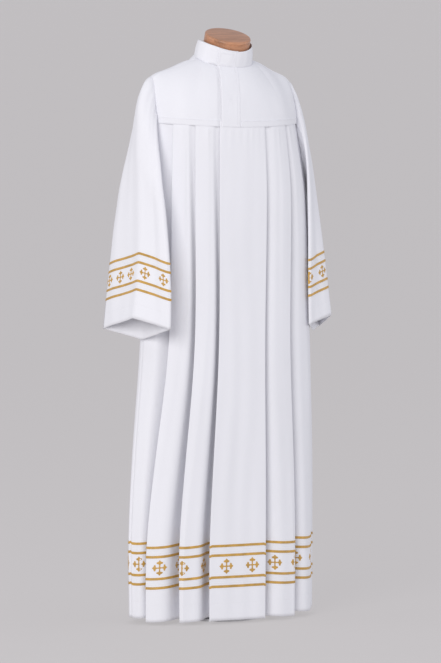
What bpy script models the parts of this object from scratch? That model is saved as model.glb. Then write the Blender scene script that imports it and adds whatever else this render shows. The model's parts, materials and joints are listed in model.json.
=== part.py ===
"""Floor-length alb with pleated skirt, yoke, stand collar and open sleeves, worn on a limbless
dress form. Metres, +Z up. The robe faces -Y and the wearer's right is -X.
The origin is the centre of the stand base's underside."""

import bisect
import math

import bmesh
import bpy
from mathutils import Vector

# ---- cloth ----
WALL = 0.0010
COLLAR_WALL = 0.0016
SEAM = 0.0003
LAYER_GAP = 0.0005  # between cloth that lies on cloth or on the dress form
FOLD_RADIUS = 0.0009

# ---- skirt ----
HEM_Z = 0.007
HEM_LIFT = 0.006  # the hem rises this much from a fold edge to the bottom of a pleat
YOKE_Z = 1.284
YOKE_SEAM_RISE = 0.008  # the yoke seam climbs this much from the centre to the side
ARMHOLE_Z = 1.140
ARMHOLE_ANGLE = 76.4  # the side's angle at which the yoke seam meets the armhole
FRONT_EDGE = 0.004  # depth of the skirt's centre panel when it sags between its folds

# The skirt through its fold edges: half widths to the wearer's right and left, and depths.
SKIRT = (
    dict(z=0.006, right=0.264, left=0.266, front=0.127, back=0.128),
    dict(z=0.221, right=0.265, left=0.267, front=0.127, back=0.128),
    dict(z=0.431, right=0.253, left=0.267, front=0.126, back=0.126),
    dict(z=0.731, right=0.229, left=0.260, front=0.123, back=0.122),
    dict(z=1.100, right=0.220, left=0.249, front=0.121, back=0.118),
    dict(z=1.290, right=0.213, left=0.215, front=0.120, back=0.114),
)

# Fold edges of the knife pleats, in degrees from the centre toward the side, at four heights.
PLEAT_HEIGHTS = (0.006, 0.221, 0.731, 1.290)
PLEATS = dict(
    front_right=(
        dict(name="near_centre", hem=22.4, bands=22.0, middle=18.2, yoke=18.3),
        dict(name="between", hem=42.0, bands=41.6, middle=35.8, yoke=37.2),
        dict(name="near_side", hem=70.0, bands=68.0, middle=57.0, yoke=57.0),
    ),
    front_left=(
        dict(name="near_centre", hem=13.6, bands=13.8, middle=14.3, yoke=18.0),
        dict(name="between", hem=38.6, bands=38.4, middle=35.3, yoke=41.0),
        dict(name="near_side", hem=66.0, bands=64.0, middle=65.0, yoke=60.0),
    ),
    back_right=(
        dict(name="near_centre", hem=17.0, bands=17.0, middle=16.5, yoke=18.2),
        dict(name="between", hem=41.0, bands=40.5, middle=36.5, yoke=38.5),
        dict(name="near_side", hem=68.0, bands=66.0, middle=57.5, yoke=58.5),
    ),
    back_left=(
        dict(name="near_centre", hem=18.5, bands=18.2, middle=17.0, yoke=18.2),
        dict(name="between", hem=43.0, bands=42.0, middle=37.0, yoke=38.5),
        dict(name="near_side", hem=69.0, bands=67.0, middle=58.0, yoke=58.5),
    ),
)

# How much the hem of each panel rises toward the side, at its outer edge and in its pleat.
HEM_RISE = dict(
    front_right=((0.0115, 0.006), (0.0, 0.0), (0.0, 0.0)),
    front_left=((0.0115, 0.010), (0.009, 0.004), (0.0, 0.0)),
    back_right=((0.0115, 0.007), (0.004, 0.002), (0.0, 0.0)),
    back_left=((0.0115, 0.007), (0.004, 0.002), (0.0, 0.0)),
)

# How a pleat opens: the cloth tucked under its edge, and the angle at which it runs inward.
OPENING = (
    dict(z=0.006, tuck=0.058, angle=62.0, open=1.00),
    dict(z=0.221, tuck=0.056, angle=56.0, open=0.90),
    dict(z=0.431, tuck=0.052, angle=46.0, open=0.75),
    dict(z=0.731, tuck=0.047, angle=30.0, open=0.50),
    dict(z=1.000, tuck=0.041, angle=14.0, open=0.22),
    dict(z=1.200, tuck=0.034, angle=3.5, open=0.04),
    dict(z=1.300, tuck=0.031, angle=0.0, open=0.00),
)
UNDER_EDGE = 0.007  # at the yoke a panel is flat under the next edge from here on
FLAT_PAST_TUCK = 0.004  # and flat over its own tucked cloth to here past its end
FLAT_AT_HEM = 0.010
OPEN_REACH = 0.85  # at the hem a panel is at full depth this share of the way into the pleat

# ---- yoke, shoulders and collar ----
SHOULDER = (
    dict(x=0.077, z=1.4590),
    dict(x=0.105, z=1.4515),
    dict(x=0.150, z=1.4325),
    dict(x=0.193, z=1.4150),
    dict(x=0.205, z=1.4090),
)
SHOULDER_END_Y = 0.005
NECK = dict(x=0.077, y=0.066, centre_y=-0.013, z=1.458, slope=0.30, dip=0.0)
COLLAR_TOP = dict(x=0.071, y=0.0655, centre_y=-0.024, z=1.5047, slope=0.188, dip=3.2)
COLLAR_EDGE = 39.5  # the collar's overlap ends this far to the wearer's right
COLLAR_OVERLAP = 42.0
COLLAR_STEP = 0.0024
COLLAR_GAP = 0.0011
NECK_SHARE = 0.48  # the share of each half yoke that lies under the neckline
NECK_SEAM_ANGLE = 40.0
PLACKET_SHARE = 0.205  # the left yoke runs this far past the centre, to the placket's edge
UNDER_PLACKET = 0.02  # the right yoke ends this far short of the centre, under the placket
LEAN = 0.034  # the shoulders slope to the wearer's left
LEAN_FROM = 1.20
LEAN_TO = 1.40

# ---- sleeves: the cuff's corners, x outward ----
CUFFS = dict(
    right=(
        dict(corner="crease", x=0.292, y=-0.058, z=0.796),
        dict(corner="front", x=0.238, y=-0.155, z=0.771),
        dict(corner="under", x=0.240, y=-0.010, z=0.737),
        dict(corner="back", x=0.300, y=0.088, z=0.762),
    ),
    left=(
        dict(corner="crease", x=0.307, y=-0.050, z=0.787),
        dict(corner="front", x=0.222, y=-0.080, z=0.766),
        dict(corner="under", x=0.300, y=0.030, z=0.742),
        dict(corner="back", x=0.356, y=0.092, z=0.750),
    ),
)
# Shares of each quarter of the sleeve, from crease to front, under, back and crease again.
QUARTERS = (
    (0.0, 0.15, 0.35, 0.60, 0.82, 0.96),
    (0.04, 0.22, 0.45, 0.68, 0.88),
    (0.0, 0.12, 0.32, 0.55, 0.76, 0.91),
    (0.09, 0.24, 0.45, 0.70, 0.90),
)
FRONT_QUARTER = 0.434  # the share of the armhole's front half that the first quarter takes
SLEEVE_ROWS = (0.0, 0.05, 0.11, 0.18, 0.27, 0.38, 0.52, 0.68, 0.84, 1.0)
SLEEVE_STANDOFF = 0.0016
# How the sleeve leaves the armhole and reaches the cuff at each corner.
SLEEVE_REACH = dict(
    right=(
        dict(corner="crease", out=0.088, forward=0.010, down=0.045, cuff_in=0.062, cuff_up=0.30),
        dict(corner="front", out=0.030, forward=0.045, down=0.035, cuff_in=0.010, cuff_up=0.20),
        dict(corner="under", out=0.026, forward=0.000, down=0.035, cuff_in=0.004, cuff_up=0.16),
        dict(corner="back", out=0.055, forward=-0.045, down=0.035, cuff_in=0.022, cuff_up=0.20),
    ),
    left=(
        dict(corner="crease", out=0.044, forward=0.010, down=0.045, cuff_in=0.042, cuff_up=0.30),
        dict(corner="front", out=0.030, forward=0.045, down=0.035, cuff_in=0.006, cuff_up=0.20),
        dict(corner="under", out=0.030, forward=0.000, down=0.035, cuff_in=0.006, cuff_up=0.16),
        dict(corner="back", out=0.050, forward=-0.045, down=0.035, cuff_in=0.022, cuff_up=0.20),
    ),
)

# ---- dress form and stand ----
FORM = (
    dict(z=0.900, x=0.120, front=0.068, back=0.068, centre_y=0.0, point=1.0),
    dict(z=0.912, x=0.146, front=0.082, back=0.082, centre_y=0.0, point=1.0),
    dict(z=0.960, x=0.156, front=0.088, back=0.088, centre_y=0.0, point=1.0),
    dict(z=1.060, x=0.146, front=0.086, back=0.082, centre_y=0.0, point=1.0),
    dict(z=1.180, x=0.160, front=0.098, back=0.092, centre_y=0.0, point=1.0),
    dict(z=1.280, x=0.178, front=0.106, back=0.098, centre_y=0.0, point=1.0),
    dict(z=1.350, x=0.188, front=0.092, back=0.086, centre_y=0.0, point=1.2),
)
FORM_SHOULDER = (
    dict(x=0.186, front=0.056, back=0.054, centre_y=0.0023, point=1.9, drop=0.0),
    dict(x=0.160, front=0.048, back=0.048, centre_y=-0.0013, point=1.9, drop=0.0),
    dict(x=0.130, front=0.043, back=0.045, centre_y=-0.0055, point=1.9, drop=0.0),
    dict(x=0.100, front=0.038, back=0.044, centre_y=-0.0098, point=1.7, drop=0.006),
    dict(x=0.074, front=0.044, back=0.047, centre_y=-0.0125, point=1.2, drop=0.010),
)
FORM_GAP = WALL / 2 + 2 * LAYER_GAP
FORM_SIDES = 40
NECK_RADIUS = 0.060
NECK_TILT = 19.0
NECK_TOP = Vector((0.0032, -0.0335, 1.5210))
NECK_BLOCK = 0.042
NECK_FOOT = 0.003
POLE_RADIUS = 0.0125
BASE_RADIUS = 0.095
BASE_HEIGHT = 0.0075
BASE_BEVEL = 0.002
BLOCK_BEVEL = 0.003
ROUND_SIDES = 32

# Rows of the skirt, as shares of the height up to a level line, and from it to the top edge.
SKIRT_ROWS = (0.0, 0.15, 0.34, 0.56, 0.78, 1.0)
SKIRT_LEVEL = 1.120
SKIRT_TOP_ROWS = (0.5, 1.0)
YOKE_ROWS = (0.0, 0.2, 0.4, 0.58, 0.74, 0.88, 1.0)


def spline(rows, key, at, value):
    """The value column of a table where its key column is at, on a smooth curve."""
    keys = [row[key] for row in rows]
    values = [row[value] for row in rows]
    if keys[0] > keys[-1]:
        keys.reverse()
        values.reverse()
    at = min(max(at, keys[0]), keys[-1])
    i = min(max(bisect.bisect_right(keys, at) - 1, 0), len(keys) - 2)

    def slope(j):
        low = max(j - 1, 0)
        high = min(j + 1, len(keys) - 1)
        return (values[high] - values[low]) / (keys[high] - keys[low])

    span = keys[i + 1] - keys[i]
    t = (at - keys[i]) / span
    return (
        (2 * t**3 - 3 * t**2 + 1) * values[i]
        + (t**3 - 2 * t**2 + t) * span * slope(i)
        + (3 * t**2 - 2 * t**3) * values[i + 1]
        + (t**3 - t**2) * span * slope(i + 1)
    )


def smooth(t):
    t = min(max(t, 0.0), 1.0)
    return t * t * (3 - 2 * t)


def lean(point):
    """The robe and the form under it slope a little at the shoulders."""
    share = smooth((point.z - LEAN_FROM) / (LEAN_TO - LEAN_FROM))
    return point + Vector((0, 0, -LEAN * share * point.x))


def ring_point(angle, z):
    """A point of the skirt's outline; angle is 0 at centre front and grows to the left."""
    turn = math.radians(angle)
    width = spline(SKIRT, "z", z, "left" if math.sin(turn) > 0 else "right")
    depth = spline(SKIRT, "z", z, "front" if math.cos(turn) > 0 else "back")
    return Vector((width * math.sin(turn), -depth * math.cos(turn), z))


def ring_speed(angle, z):
    """Metres of outline for each degree."""
    return (ring_point(angle + 0.5, z) - ring_point(angle - 0.5, z)).length


def inside_ring(angle, depth, z):
    """A point at a depth under the outline."""
    along = ring_point(angle + 0.5, z) - ring_point(angle - 0.5, z)
    inward = Vector((-along.y, along.x, 0)).normalized()
    return ring_point(angle, z) + inward * depth


class Half:
    """One half of the front or the back, from its side seam to the centre."""

    def __init__(self, name):
        self.pleats = PLEATS[name][::-1]
        self.rises = HEM_RISE[name]
        self.back = name.startswith("back")
        self.sign = 1 if name.endswith("left") else -1

    def angle(self, from_centre):
        """Degrees from centre front for degrees from this half's own centre."""
        return self.sign * (180 - from_centre if self.back else from_centre)

    def edge(self, index, z):
        """Degrees from the centre to a pleat's fold edge; the side seam is before the first."""
        if index < 0:
            return 90.0
        row = self.pleats[index]
        places = [row[k] for k in ("hem", "bands", "middle", "yoke")]
        table = [dict(z=h, at=p) for h, p in zip(PLEAT_HEIGHTS, places)]
        return spline(table, "z", z, "at")

    def place(self, index, along, depth, z):
        """A point by its distance from a fold edge toward the centre, and its depth."""
        edge = self.edge(index, z)
        speed = ring_speed(self.angle(edge), z)
        return inside_ring(self.angle(edge - along / speed), depth, z)

    def pleat(self, z):
        tuck, angle = (spline(OPENING, "z", z, k) for k in ("tuck", "angle"))
        turn = math.radians(angle)
        middle = (
            FOLD_RADIUS + tuck * math.cos(turn) - 2 * FOLD_RADIUS * math.sin(turn),
            FOLD_RADIUS + tuck * math.sin(turn) + 2 * FOLD_RADIUS * math.cos(turn),
        )
        return angle, middle

    def outer_fold(self, index, share, z):
        """Round the fold edge, from the panel that shows to the cloth tucked under it."""
        angle = self.pleat(z)[0]
        turn = math.radians(90 + share * (180 - angle))
        r = FOLD_RADIUS
        return self.place(index, r + r * math.cos(turn), r - r * math.sin(turn), z)

    def inner_fold(self, index, share, z):
        """Round the bottom of the pleat, from the tucked cloth to the next panel."""
        angle, middle = self.pleat(z)
        turn = math.radians((90 - angle) - share * (180 - angle))
        r = FOLD_RADIUS
        return self.place(
            index, middle[0] + r * math.cos(turn), middle[1] - r * math.sin(turn), z
        )

    def tuck(self, index, share, z):
        """On the tucked cloth, from the fold edge inward."""
        angle, middle = self.pleat(z)
        turn = math.radians(angle)
        r = FOLD_RADIUS
        start = (r - r * math.sin(turn), r + r * math.cos(turn))
        end = (middle[0] + r * math.sin(turn), middle[1] - r * math.cos(turn))
        along_it = start[0] + (end[0] - start[0]) * share
        depth = start[1] + (end[1] - start[1]) * share
        return self.place(index, along_it, depth, z)

    def panel(self, index, share, z):
        """On the panel from the fold edge before a pleat to the bottom of that pleat.
        It lies flat to share 1, sinks to share 2, and is at full depth to share 3."""
        middle = self.pleat(z)[1]
        edge = self.edge(index, z)
        speed = ring_speed(self.angle(edge), z)
        before = self.edge(index - 1, z)
        open_share = spline(OPENING, "z", z, "open")
        flat = FLAT_AT_HEM
        if index > 0:
            before_speed = ring_speed(self.angle(before), z)
            before -= FOLD_RADIUS / before_speed
            tucked = spline(OPENING, "z", z, "tuck") + FLAT_PAST_TUCK
            flat += (tucked - FLAT_AT_HEM) * (1 - open_share)
        bottom = edge - middle[0] / speed
        full_at = edge + UNDER_EDGE / speed
        full_at += (bottom - full_at) * open_share * OPEN_REACH
        stops = (before, before - flat / speed, full_at, bottom)
        part = min(int(share), 2)
        at = stops[part] + (stops[part + 1] - stops[part]) * (share - part)
        depth = (middle[1] + FOLD_RADIUS) * smooth(share - 1)
        return inside_ring(self.angle(at), depth, z)

    def columns(self):
        """Each column of the skirt's half: a function of height, its hem lift and its rise at the side."""
        made = []
        for index in range(len(self.pleats)):
            shares = SIDE_SHARES if index == 0 else PANEL_SHARES
            outer, inner = self.rises[index]
            edge = self.rises[index + 1][0] if index + 1 < len(self.rises) else 0.0
            for share in shares:
                rise = outer + (inner - outer) * smooth(share / 2)
                made.append(column(self.panel, index, share, smooth(share - 1), rise))
            for share in INNER_FOLD_SHARES:
                made.append(column(self.inner_fold, index, share, 1.0, inner))
            for share in TUCK_SHARES:
                made.append(column(self.tuck, index, share, share, edge + (inner - edge) * share))
            for share in OUTER_FOLD_SHARES:
                made.append(column(self.outer_fold, index, share, 0.0, edge))
        return made


SIDE_SHARES = (0.0, 1.0, 1.16, 1.33, 1.5, 1.67, 1.84, 2.0, 2.5)
PANEL_SHARES = (0.3, 0.55, 0.8, 1.0, 1.25, 1.5, 1.75, 2.0, 2.5)
INNER_FOLD_SHARES = (1.0, 0.5, 0.0)
TUCK_SHARES = (0.75, 0.5, 0.25)
OUTER_FOLD_SHARES = (1.0, 0.67, 0.33, 0.0)
CENTRE_SHARES = (0.1, 0.3, 0.5, 0.7, 0.9)
SPLIT_SHARE = 0.97  # the left front starts here on the placket's tucked cloth


def column(make, index, share, lift, rise):
    return dict(at=lambda z: make(index, share, z), lift=lift, rise=rise, rising=True)


def armhole_top(angle):
    """Height of the skirt's top edge: the yoke seam, then the armhole's lower half."""
    aside = abs(angle) if abs(angle) <= 90 else 180 - abs(angle)
    seam = YOKE_Z + YOKE_SEAM_RISE * smooth(aside / ARMHOLE_ANGLE)
    if aside <= ARMHOLE_ANGLE:
        return seam
    down = (aside - ARMHOLE_ANGLE) / (90 - ARMHOLE_ANGLE)
    return seam - (seam - ARMHOLE_Z) * math.sqrt(1 - (1 - min(down, 1.0)) ** 2)


def angle_of(point, z):
    """Degrees from centre front of a point at a height."""
    width = spline(SKIRT, "z", z, "left" if point.x > 0 else "right")
    depth = spline(SKIRT, "z", z, "front" if point.y < 0 else "back")
    return math.degrees(math.atan2(point.x / width, -point.y / depth))


def skirt_rows(columns):
    """Points of a skirt piece, row by row from the hem."""
    lines = []
    for col in columns:
        top = YOKE_Z
        for _ in range(6):
            top = (top + armhole_top(angle_of(col["at"](top), top))) / 2
        top -= 1.5 * SEAM
        hem = HEM_Z + HEM_LIFT * col["lift"] + col["rise"]
        heights = [hem + (SKIRT_LEVEL - hem) * share for share in SKIRT_ROWS]
        heights += [SKIRT_LEVEL + (top - SKIRT_LEVEL) * share for share in SKIRT_TOP_ROWS]
        lines.append([lean(col["at"](z)) for z in heights])
    return [list(row) for row in zip(*lines)]


def neckline(share_angle):
    """The yoke's neck edge; the angle is measured from centre front."""
    turn = math.radians(share_angle)
    y = NECK["centre_y"] - NECK["y"] * math.cos(turn)
    z = NECK["z"] + NECK["slope"] * (y - NECK["centre_y"])
    return Vector((NECK["x"] * math.sin(turn), y, z))


def yoke_curve(share, back):
    """The two ends and two handles of a line down the yoke; share runs from centre to armhole."""
    aside = abs(share)
    side = 1 if share > 0 else -1
    if aside <= NECK_SHARE:
        part = aside / NECK_SHARE
        neck_angle = 90 * part
        seam_angle = NECK_SEAM_ANGLE * part
        top = neckline(side * (180 - neck_angle if back else neck_angle))
        fall = 1 - part
    else:
        part = (aside - NECK_SHARE) / (1 - NECK_SHARE)
        seam_angle = NECK_SEAM_ANGLE + (ARMHOLE_ANGLE - NECK_SEAM_ANGLE) * part
        x = SHOULDER[0]["x"] + (SHOULDER[-1]["x"] - SHOULDER[0]["x"]) * part
        y = NECK["centre_y"] + (SHOULDER_END_Y - NECK["centre_y"]) * part
        top = Vector((side * x, y, spline(SHOULDER, "x", x, "z")))
        fall = 0.0
    angle = side * (180 - seam_angle if back else seam_angle)
    height = armhole_top(angle)
    foot = ring_point(angle, height)
    drop = top.z - foot.z
    low = foot + Vector((0, 0, 0.45 * drop))
    shift = foot - top
    high = top + Vector((0.25 * shift.x * fall, 0.55 * shift.y, -0.24 * drop * fall))
    return foot, low, high, top


def yoke_point(share, height, back):
    foot, low, high, top = yoke_curve(share, back)
    t = height
    return (
        foot * (1 - t) ** 3
        + low * 3 * t * (1 - t) ** 2
        + high * 3 * t * t * (1 - t)
        + top * t**3
    )


def yoke_inward(share, height, back):
    """Unit normal of the yoke, into the robe."""
    step = 0.01
    low = yoke_point(share, max(height - step, 0.0), back)
    high = yoke_point(share, min(height + step, 1.0), back)
    one = yoke_point(share - step, height, back)
    two = yoke_point(share + step, height, back)
    normal = (two - one).cross(high - low).normalized()
    return normal if back else -normal


def yoke_rows(shares, back, depth):
    """Points of a yoke piece, kept a seam's gap from the shoulder and the neck edge."""
    rows = []
    for height in YOKE_ROWS:
        row = []
        for share in shares:
            point = yoke_point(share, height, back)
            point += yoke_inward(share, height, back) * depth(share)
            if height == YOKE_ROWS[-1]:
                point.y += 1.5 * SEAM * (1 if back else -1)
            row.append(lean(point))
        rows.append(row)
    return rows


def between(first, last, count):
    return [first + (last - first) * i / (count - 1) for i in range(count)]


def collar_rows():
    rows = []
    for height in (0.0, 0.5, 1.0):
        size = {k: NECK[k] + (COLLAR_TOP[k] - NECK[k]) * height for k in NECK}
        row = []
        for turn in between(-COLLAR_EDGE, 360 - COLLAR_EDGE + COLLAR_OVERLAP, 49):
            under = smooth((turn - (350 - COLLAR_EDGE - 14)) / 14)
            narrow = COLLAR_STEP * under
            angle = math.radians(turn)
            y = size["centre_y"] - (size["y"] - narrow) * math.cos(angle)
            z = size["z"] + size["slope"] * (y - size["centre_y"])
            z -= size["dip"] * (y - size["centre_y"]) ** 2
            x = (size["x"] - narrow) * math.sin(angle)
            gap = COLLAR_GAP if height == 0 else 0.0
            row.append(lean(Vector((x, y, z + gap))))
        rows.append(row)
    return rows


def armhole(side):
    """Points down the front of an armhole from the shoulder and up its back."""
    sign = 1 if side == "left" else -1
    halves = []
    for back in (False, True):
        points = [yoke_point(sign, h, back) for h in between(1.0, 0.0, 16)]
        for part in between(0.0, 90.0, 16)[1:]:
            aside = ARMHOLE_ANGLE + (90 - ARMHOLE_ANGLE) * (1 - math.cos(math.radians(part)))
            angle = sign * (180 - aside if back else aside)
            points.append(ring_point(angle, armhole_top(angle)))
        halves.append(points)
    return halves


def along(points, share):
    """The point at a share of a line's length."""
    steps = [(b - a).length for a, b in zip(points, points[1:])]
    left = share * sum(steps)
    for a, b, step in zip(points, points[1:], steps):
        if left <= step:
            return a.lerp(b, left / step)
        left -= step
    return points[-1]


def sleeve_ends(side):
    """For each line down the sleeve: its place at the armhole, at the cuff, and its quarter."""
    sign = 1 if side == "left" else -1
    front, back = armhole(side)
    corners = [Vector((sign * c["x"], c["y"], c["z"])) for c in CUFFS[side]]
    lines = []
    for quarter, shares in enumerate(QUARTERS):
        for share in shares:
            if quarter < 2:
                part = (0.0, FRONT_QUARTER, 1.0)
                at = part[quarter] + (part[quarter + 1] - part[quarter]) * share
                start = along(front, at)
            else:
                part = (1.0, 1 - FRONT_QUARTER, 0.0)
                at = part[quarter - 2] + (part[quarter - 1] - part[quarter - 2]) * share
                start = along(back, at)
            end = corners[quarter].lerp(corners[(quarter + 1) % 4], share)
            lines.append((start, end, quarter, share))
    return lines


def sleeve_rows(side):
    sign = 1 if side == "left" else -1
    rows = []
    for t in SLEEVE_ROWS:
        row = []
        for start, end, quarter, share in sleeve_ends(side):
            one = SLEEVE_REACH[side][quarter]
            two = SLEEVE_REACH[side][(quarter + 1) % 4]
            ease = smooth(share)
            reach = {k: one[k] + (two[k] - one[k]) * ease for k in one if k != "corner"}
            start = start + Vector((sign * SLEEVE_STANDOFF, 0, 0))
            leave = start + Vector((sign * reach["out"], -reach["forward"], -reach["down"]))
            arrive = end + Vector((-sign * reach["cuff_in"], 0, reach["cuff_up"]))
            point = (
                start * (1 - t) ** 3
                + leave * 3 * t * (1 - t) ** 2
                + arrive * 3 * t * t * (1 - t)
                + end * t**3
            )
            row.append(lean(point))
        rows.append(row)
    return rows


def material(name, colour, roughness, metallic=0.0):
    made = bpy.data.materials.new(name)
    made.use_nodes = True
    shader = made.node_tree.nodes["Principled BSDF"]
    shader.inputs["Base Color"].default_value = (*colour, 1.0)
    shader.inputs["Roughness"].default_value = roughness
    shader.inputs["Metallic"].default_value = metallic
    return made


def add_object(name, mesh, finish, smooth_angle=None):
    mesh.materials.append(finish)
    if smooth_angle:
        mesh.shade_smooth()
        mesh.set_sharp_from_angle(angle=math.radians(smooth_angle))
    made = bpy.data.objects.new(name, mesh)
    PARTS.objects.link(made)
    return made


def cloth(name, rows, finish, wall=WALL, closed=False, rising=None):
    """A sheet through rows of points, thickened to both sides."""
    mesh = bpy.data.meshes.new(name)
    bm = bmesh.new()
    grid = [[bm.verts.new(p) for p in row] for row in rows]
    count = len(rows[0])
    for low, high in zip(grid, grid[1:]):
        for i in range(count if closed else count - 1):
            j = (i + 1) % count
            if rising is None or rising[i]:
                bm.faces.new((low[i], low[j], high[j]))
                bm.faces.new((low[i], high[j], high[i]))
            else:
                bm.faces.new((low[i], low[j], high[i]))
                bm.faces.new((low[j], high[j], high[i]))
    bmesh.ops.recalc_face_normals(bm, faces=bm.faces)
    bm.to_mesh(mesh)
    bm.free()
    made = add_object(name, mesh, finish, 50)
    thicken = made.modifiers.new("wall", "SOLIDIFY")
    thicken.thickness = wall
    thicken.offset = 0.0
    thicken.use_even_offset = True
    return made


def lofted(name, rings, finish):
    """A closed body through rings of points, with flat ends."""
    mesh = bpy.data.meshes.new(name)
    bm = bmesh.new()
    grid = [[bm.verts.new(p) for p in ring] for ring in rings]
    count = len(rings[0])
    for low, high in zip(grid, grid[1:]):
        for i in range(count):
            j = (i + 1) % count
            bm.faces.new((low[i], low[j], high[j], high[i]))
    bm.faces.new(grid[0])
    bm.faces.new(grid[-1])
    bmesh.ops.recalc_face_normals(bm, faces=bm.faces)
    bmesh.ops.triangulate(bm, faces=bm.faces)
    bm.to_mesh(mesh)
    bm.free()
    return add_object(name, mesh, finish, 60)


def round_bar(name, radius, height, finish, bevel=0.0):
    """An upright cylinder that stands on its origin."""
    mesh = bpy.data.meshes.new(name)
    bm = bmesh.new()
    bmesh.ops.create_cone(
        bm,
        cap_ends=True,
        segments=ROUND_SIDES,
        radius1=radius,
        radius2=radius,
        depth=height,
    )
    bmesh.ops.translate(bm, verts=bm.verts, vec=(0, 0, height / 2))
    bm.to_mesh(mesh)
    bm.free()
    made = add_object(name, mesh, finish, 40)
    if bevel:
        rounding = made.modifiers.new("edge", "BEVEL")
        rounding.width = bevel
        rounding.segments = 2
        rounding.limit_method = "ANGLE"
    return made


def form_ring(size):
    ring = []
    for i in range(FORM_SIDES):
        turn = 2 * math.pi * i / FORM_SIDES
        depth = size["front"] if math.cos(turn) > 0 else size["back"]
        depth *= math.copysign(abs(math.cos(turn)) ** size["point"], math.cos(turn))
        ring.append(lean(Vector((size["x"] * math.sin(turn), size["centre_y"] - depth, size["z"]))))
    return ring


def neck_rings():
    """The form's neck, square to the wooden block on it."""
    tilt = math.radians(NECK_TILT)
    axis = Vector((0, -math.sin(tilt), math.cos(tilt)))
    across = Vector((0, math.cos(tilt), math.sin(tilt)))
    rings = []
    for down in (NECK_FOOT, 0.0):
        middle = NECK_TOP - axis * (NECK_BLOCK + SEAM + down)
        ring = []
        for i in range(FORM_SIDES):
            turn = 2 * math.pi * i / FORM_SIDES
            out = Vector((math.sin(turn), 0, 0)) - across * math.cos(turn)
            ring.append(middle + out * NECK_RADIUS)
        rings.append(ring)
    return rings


def form_rings():
    """The torso, then rings just under the yoke along the shoulder line, then the neck."""
    rings = [form_ring(size) for size in FORM]
    for row in FORM_SHOULDER:
        z = spline(SHOULDER, "x", row["x"], "z") - FORM_GAP - row["drop"]
        rings.append(form_ring(dict(row, z=z)))
    return rings + neck_rings()


def make_skirt():
    halves = {name: Half(name) for name in PLEATS}
    front_right = halves["front_right"].columns()
    front_left = halves["front_left"].columns()
    placket = halves["front_right"]
    last = len(placket.pleats) - 1
    # The right front ends at the bottom of the centre pleat, under the placket.
    right = front_right[: -len(OUTER_FOLD_SHARES) - len(TUCK_SHARES)]
    centre = centre_columns(halves["front_right"], halves["front_left"])
    split = len(OUTER_FOLD_SHARES) + len(TUCK_SHARES)
    start = column(placket.tuck, last, SPLIT_SHARE, SPLIT_SHARE, 0.0)
    left = [start] + front_right[-split:] + centre + mirrored(front_left)
    add_skirt("front_right", seam_side(right, first=True), LINEN)
    add_skirt("front_left", seam_side(left, first=False), LINEN)
    back = (
        halves["back_right"].columns()
        + centre_columns(halves["back_right"], halves["back_left"])
        + mirrored(halves["back_left"].columns())
    )
    add_skirt("back", seam_side(seam_side(back, True), False), LINEN)


def mirrored(columns):
    """Columns in the other order; a diagonal belongs to the strip after its column."""
    flags = [c["rising"] for c in columns]
    shifted = flags[:-1][::-1] + [True]
    return [dict(c, rising=not r) for c, r in zip(columns[::-1], shifted)]


def centre_columns(right, left):
    """Columns across the centre panel, between its two fold edges."""
    last = len(right.pleats) - 1

    def make(share):
        def at(z):
            one = right.outer_fold(last, 0.0, z)
            two = left.outer_fold(last, 0.0, z)
            a = angle_of(one, z)
            b = angle_of(two, z)
            if right.back:
                b -= 360
            sag = FRONT_EDGE * math.sin(math.pi * share) * spline(OPENING, "z", z, "open")
            return inside_ring(a + (b - a) * share, sag, z)

        return at

    return [dict(at=make(s), lift=0.3, rise=0.0, rising=True) for s in CENTRE_SHARES]


def seam_side(columns, first):
    """Draw the end column back from the side seam."""
    index = 0 if first else -1
    inner = 1 if first else -2
    edge = columns[index]["at"]
    beside = columns[inner]["at"]

    def at(z):
        here = edge(z)
        return here + (beside(z) - here).normalized() * SEAM

    moved = dict(columns[index], at=at)
    return [moved] + columns[1:] if first else columns[:-1] + [moved]


def add_skirt(name, columns, finish):
    cloth(name, skirt_rows(columns), finish, rising=[c["rising"] for c in columns])


def make_yoke():
    whole = between(-1.0, 1.0, 31)

    def under(share):
        dip = smooth((share + PLACKET_SHARE + 0.04) / 0.03)
        return (WALL + 1.3 * LAYER_GAP) * dip

    right = between(-1.0, -PLACKET_SHARE - 0.04, 13)
    right += [-PLACKET_SHARE - 0.01] + between(-PLACKET_SHARE + 0.02, -UNDER_PLACKET, 4)
    left = between(-PLACKET_SHARE, NECK_SHARE, 11) + between(NECK_SHARE, 1.0, 9)[1:]
    cloth("yoke_front_right", yoke_rows(right, False, under), LINEN)
    cloth("yoke_front_left", yoke_rows(left, False, lambda share: 0.0), LINEN)
    cloth("yoke_back", yoke_rows(whole, True, lambda share: 0.0), LINEN)
    cloth("collar", collar_rows(), LINEN, wall=COLLAR_WALL)


def make_form():
    lofted("dress_form", form_rings(), JERSEY)
    block = round_bar("neck_block", NECK_RADIUS, NECK_BLOCK, WOOD, BLOCK_BEVEL)
    tilt = math.radians(NECK_TILT)
    axis = Vector((0, -math.sin(tilt), math.cos(tilt)))
    block.rotation_euler = (tilt, 0, 0)
    block.location = NECK_TOP - axis * NECK_BLOCK
    bottom = FORM[0]["z"]
    pole_start = BASE_HEIGHT + SEAM
    pole = round_bar("stand_pole", POLE_RADIUS, bottom - SEAM - pole_start, STEEL)
    pole.location = (0, 0, pole_start)
    round_bar("stand_base", BASE_RADIUS, BASE_HEIGHT, STEEL, BASE_BEVEL)


for old in list(bpy.data.objects):
    bpy.data.objects.remove(old)
PARTS = bpy.data.collections.new("alb_robe_on_dress_form")
bpy.context.scene.collection.children.link(PARTS)
LINEN = material("white_cloth", (0.86, 0.86, 0.90), 0.75)
JERSEY = material("form_jersey", (0.62, 0.58, 0.53), 0.85)
WOOD = material("turned_wood", (0.48, 0.24, 0.12), 0.40)
STEEL = material("painted_steel", (0.72, 0.72, 0.74), 0.45, 0.2)

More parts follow.
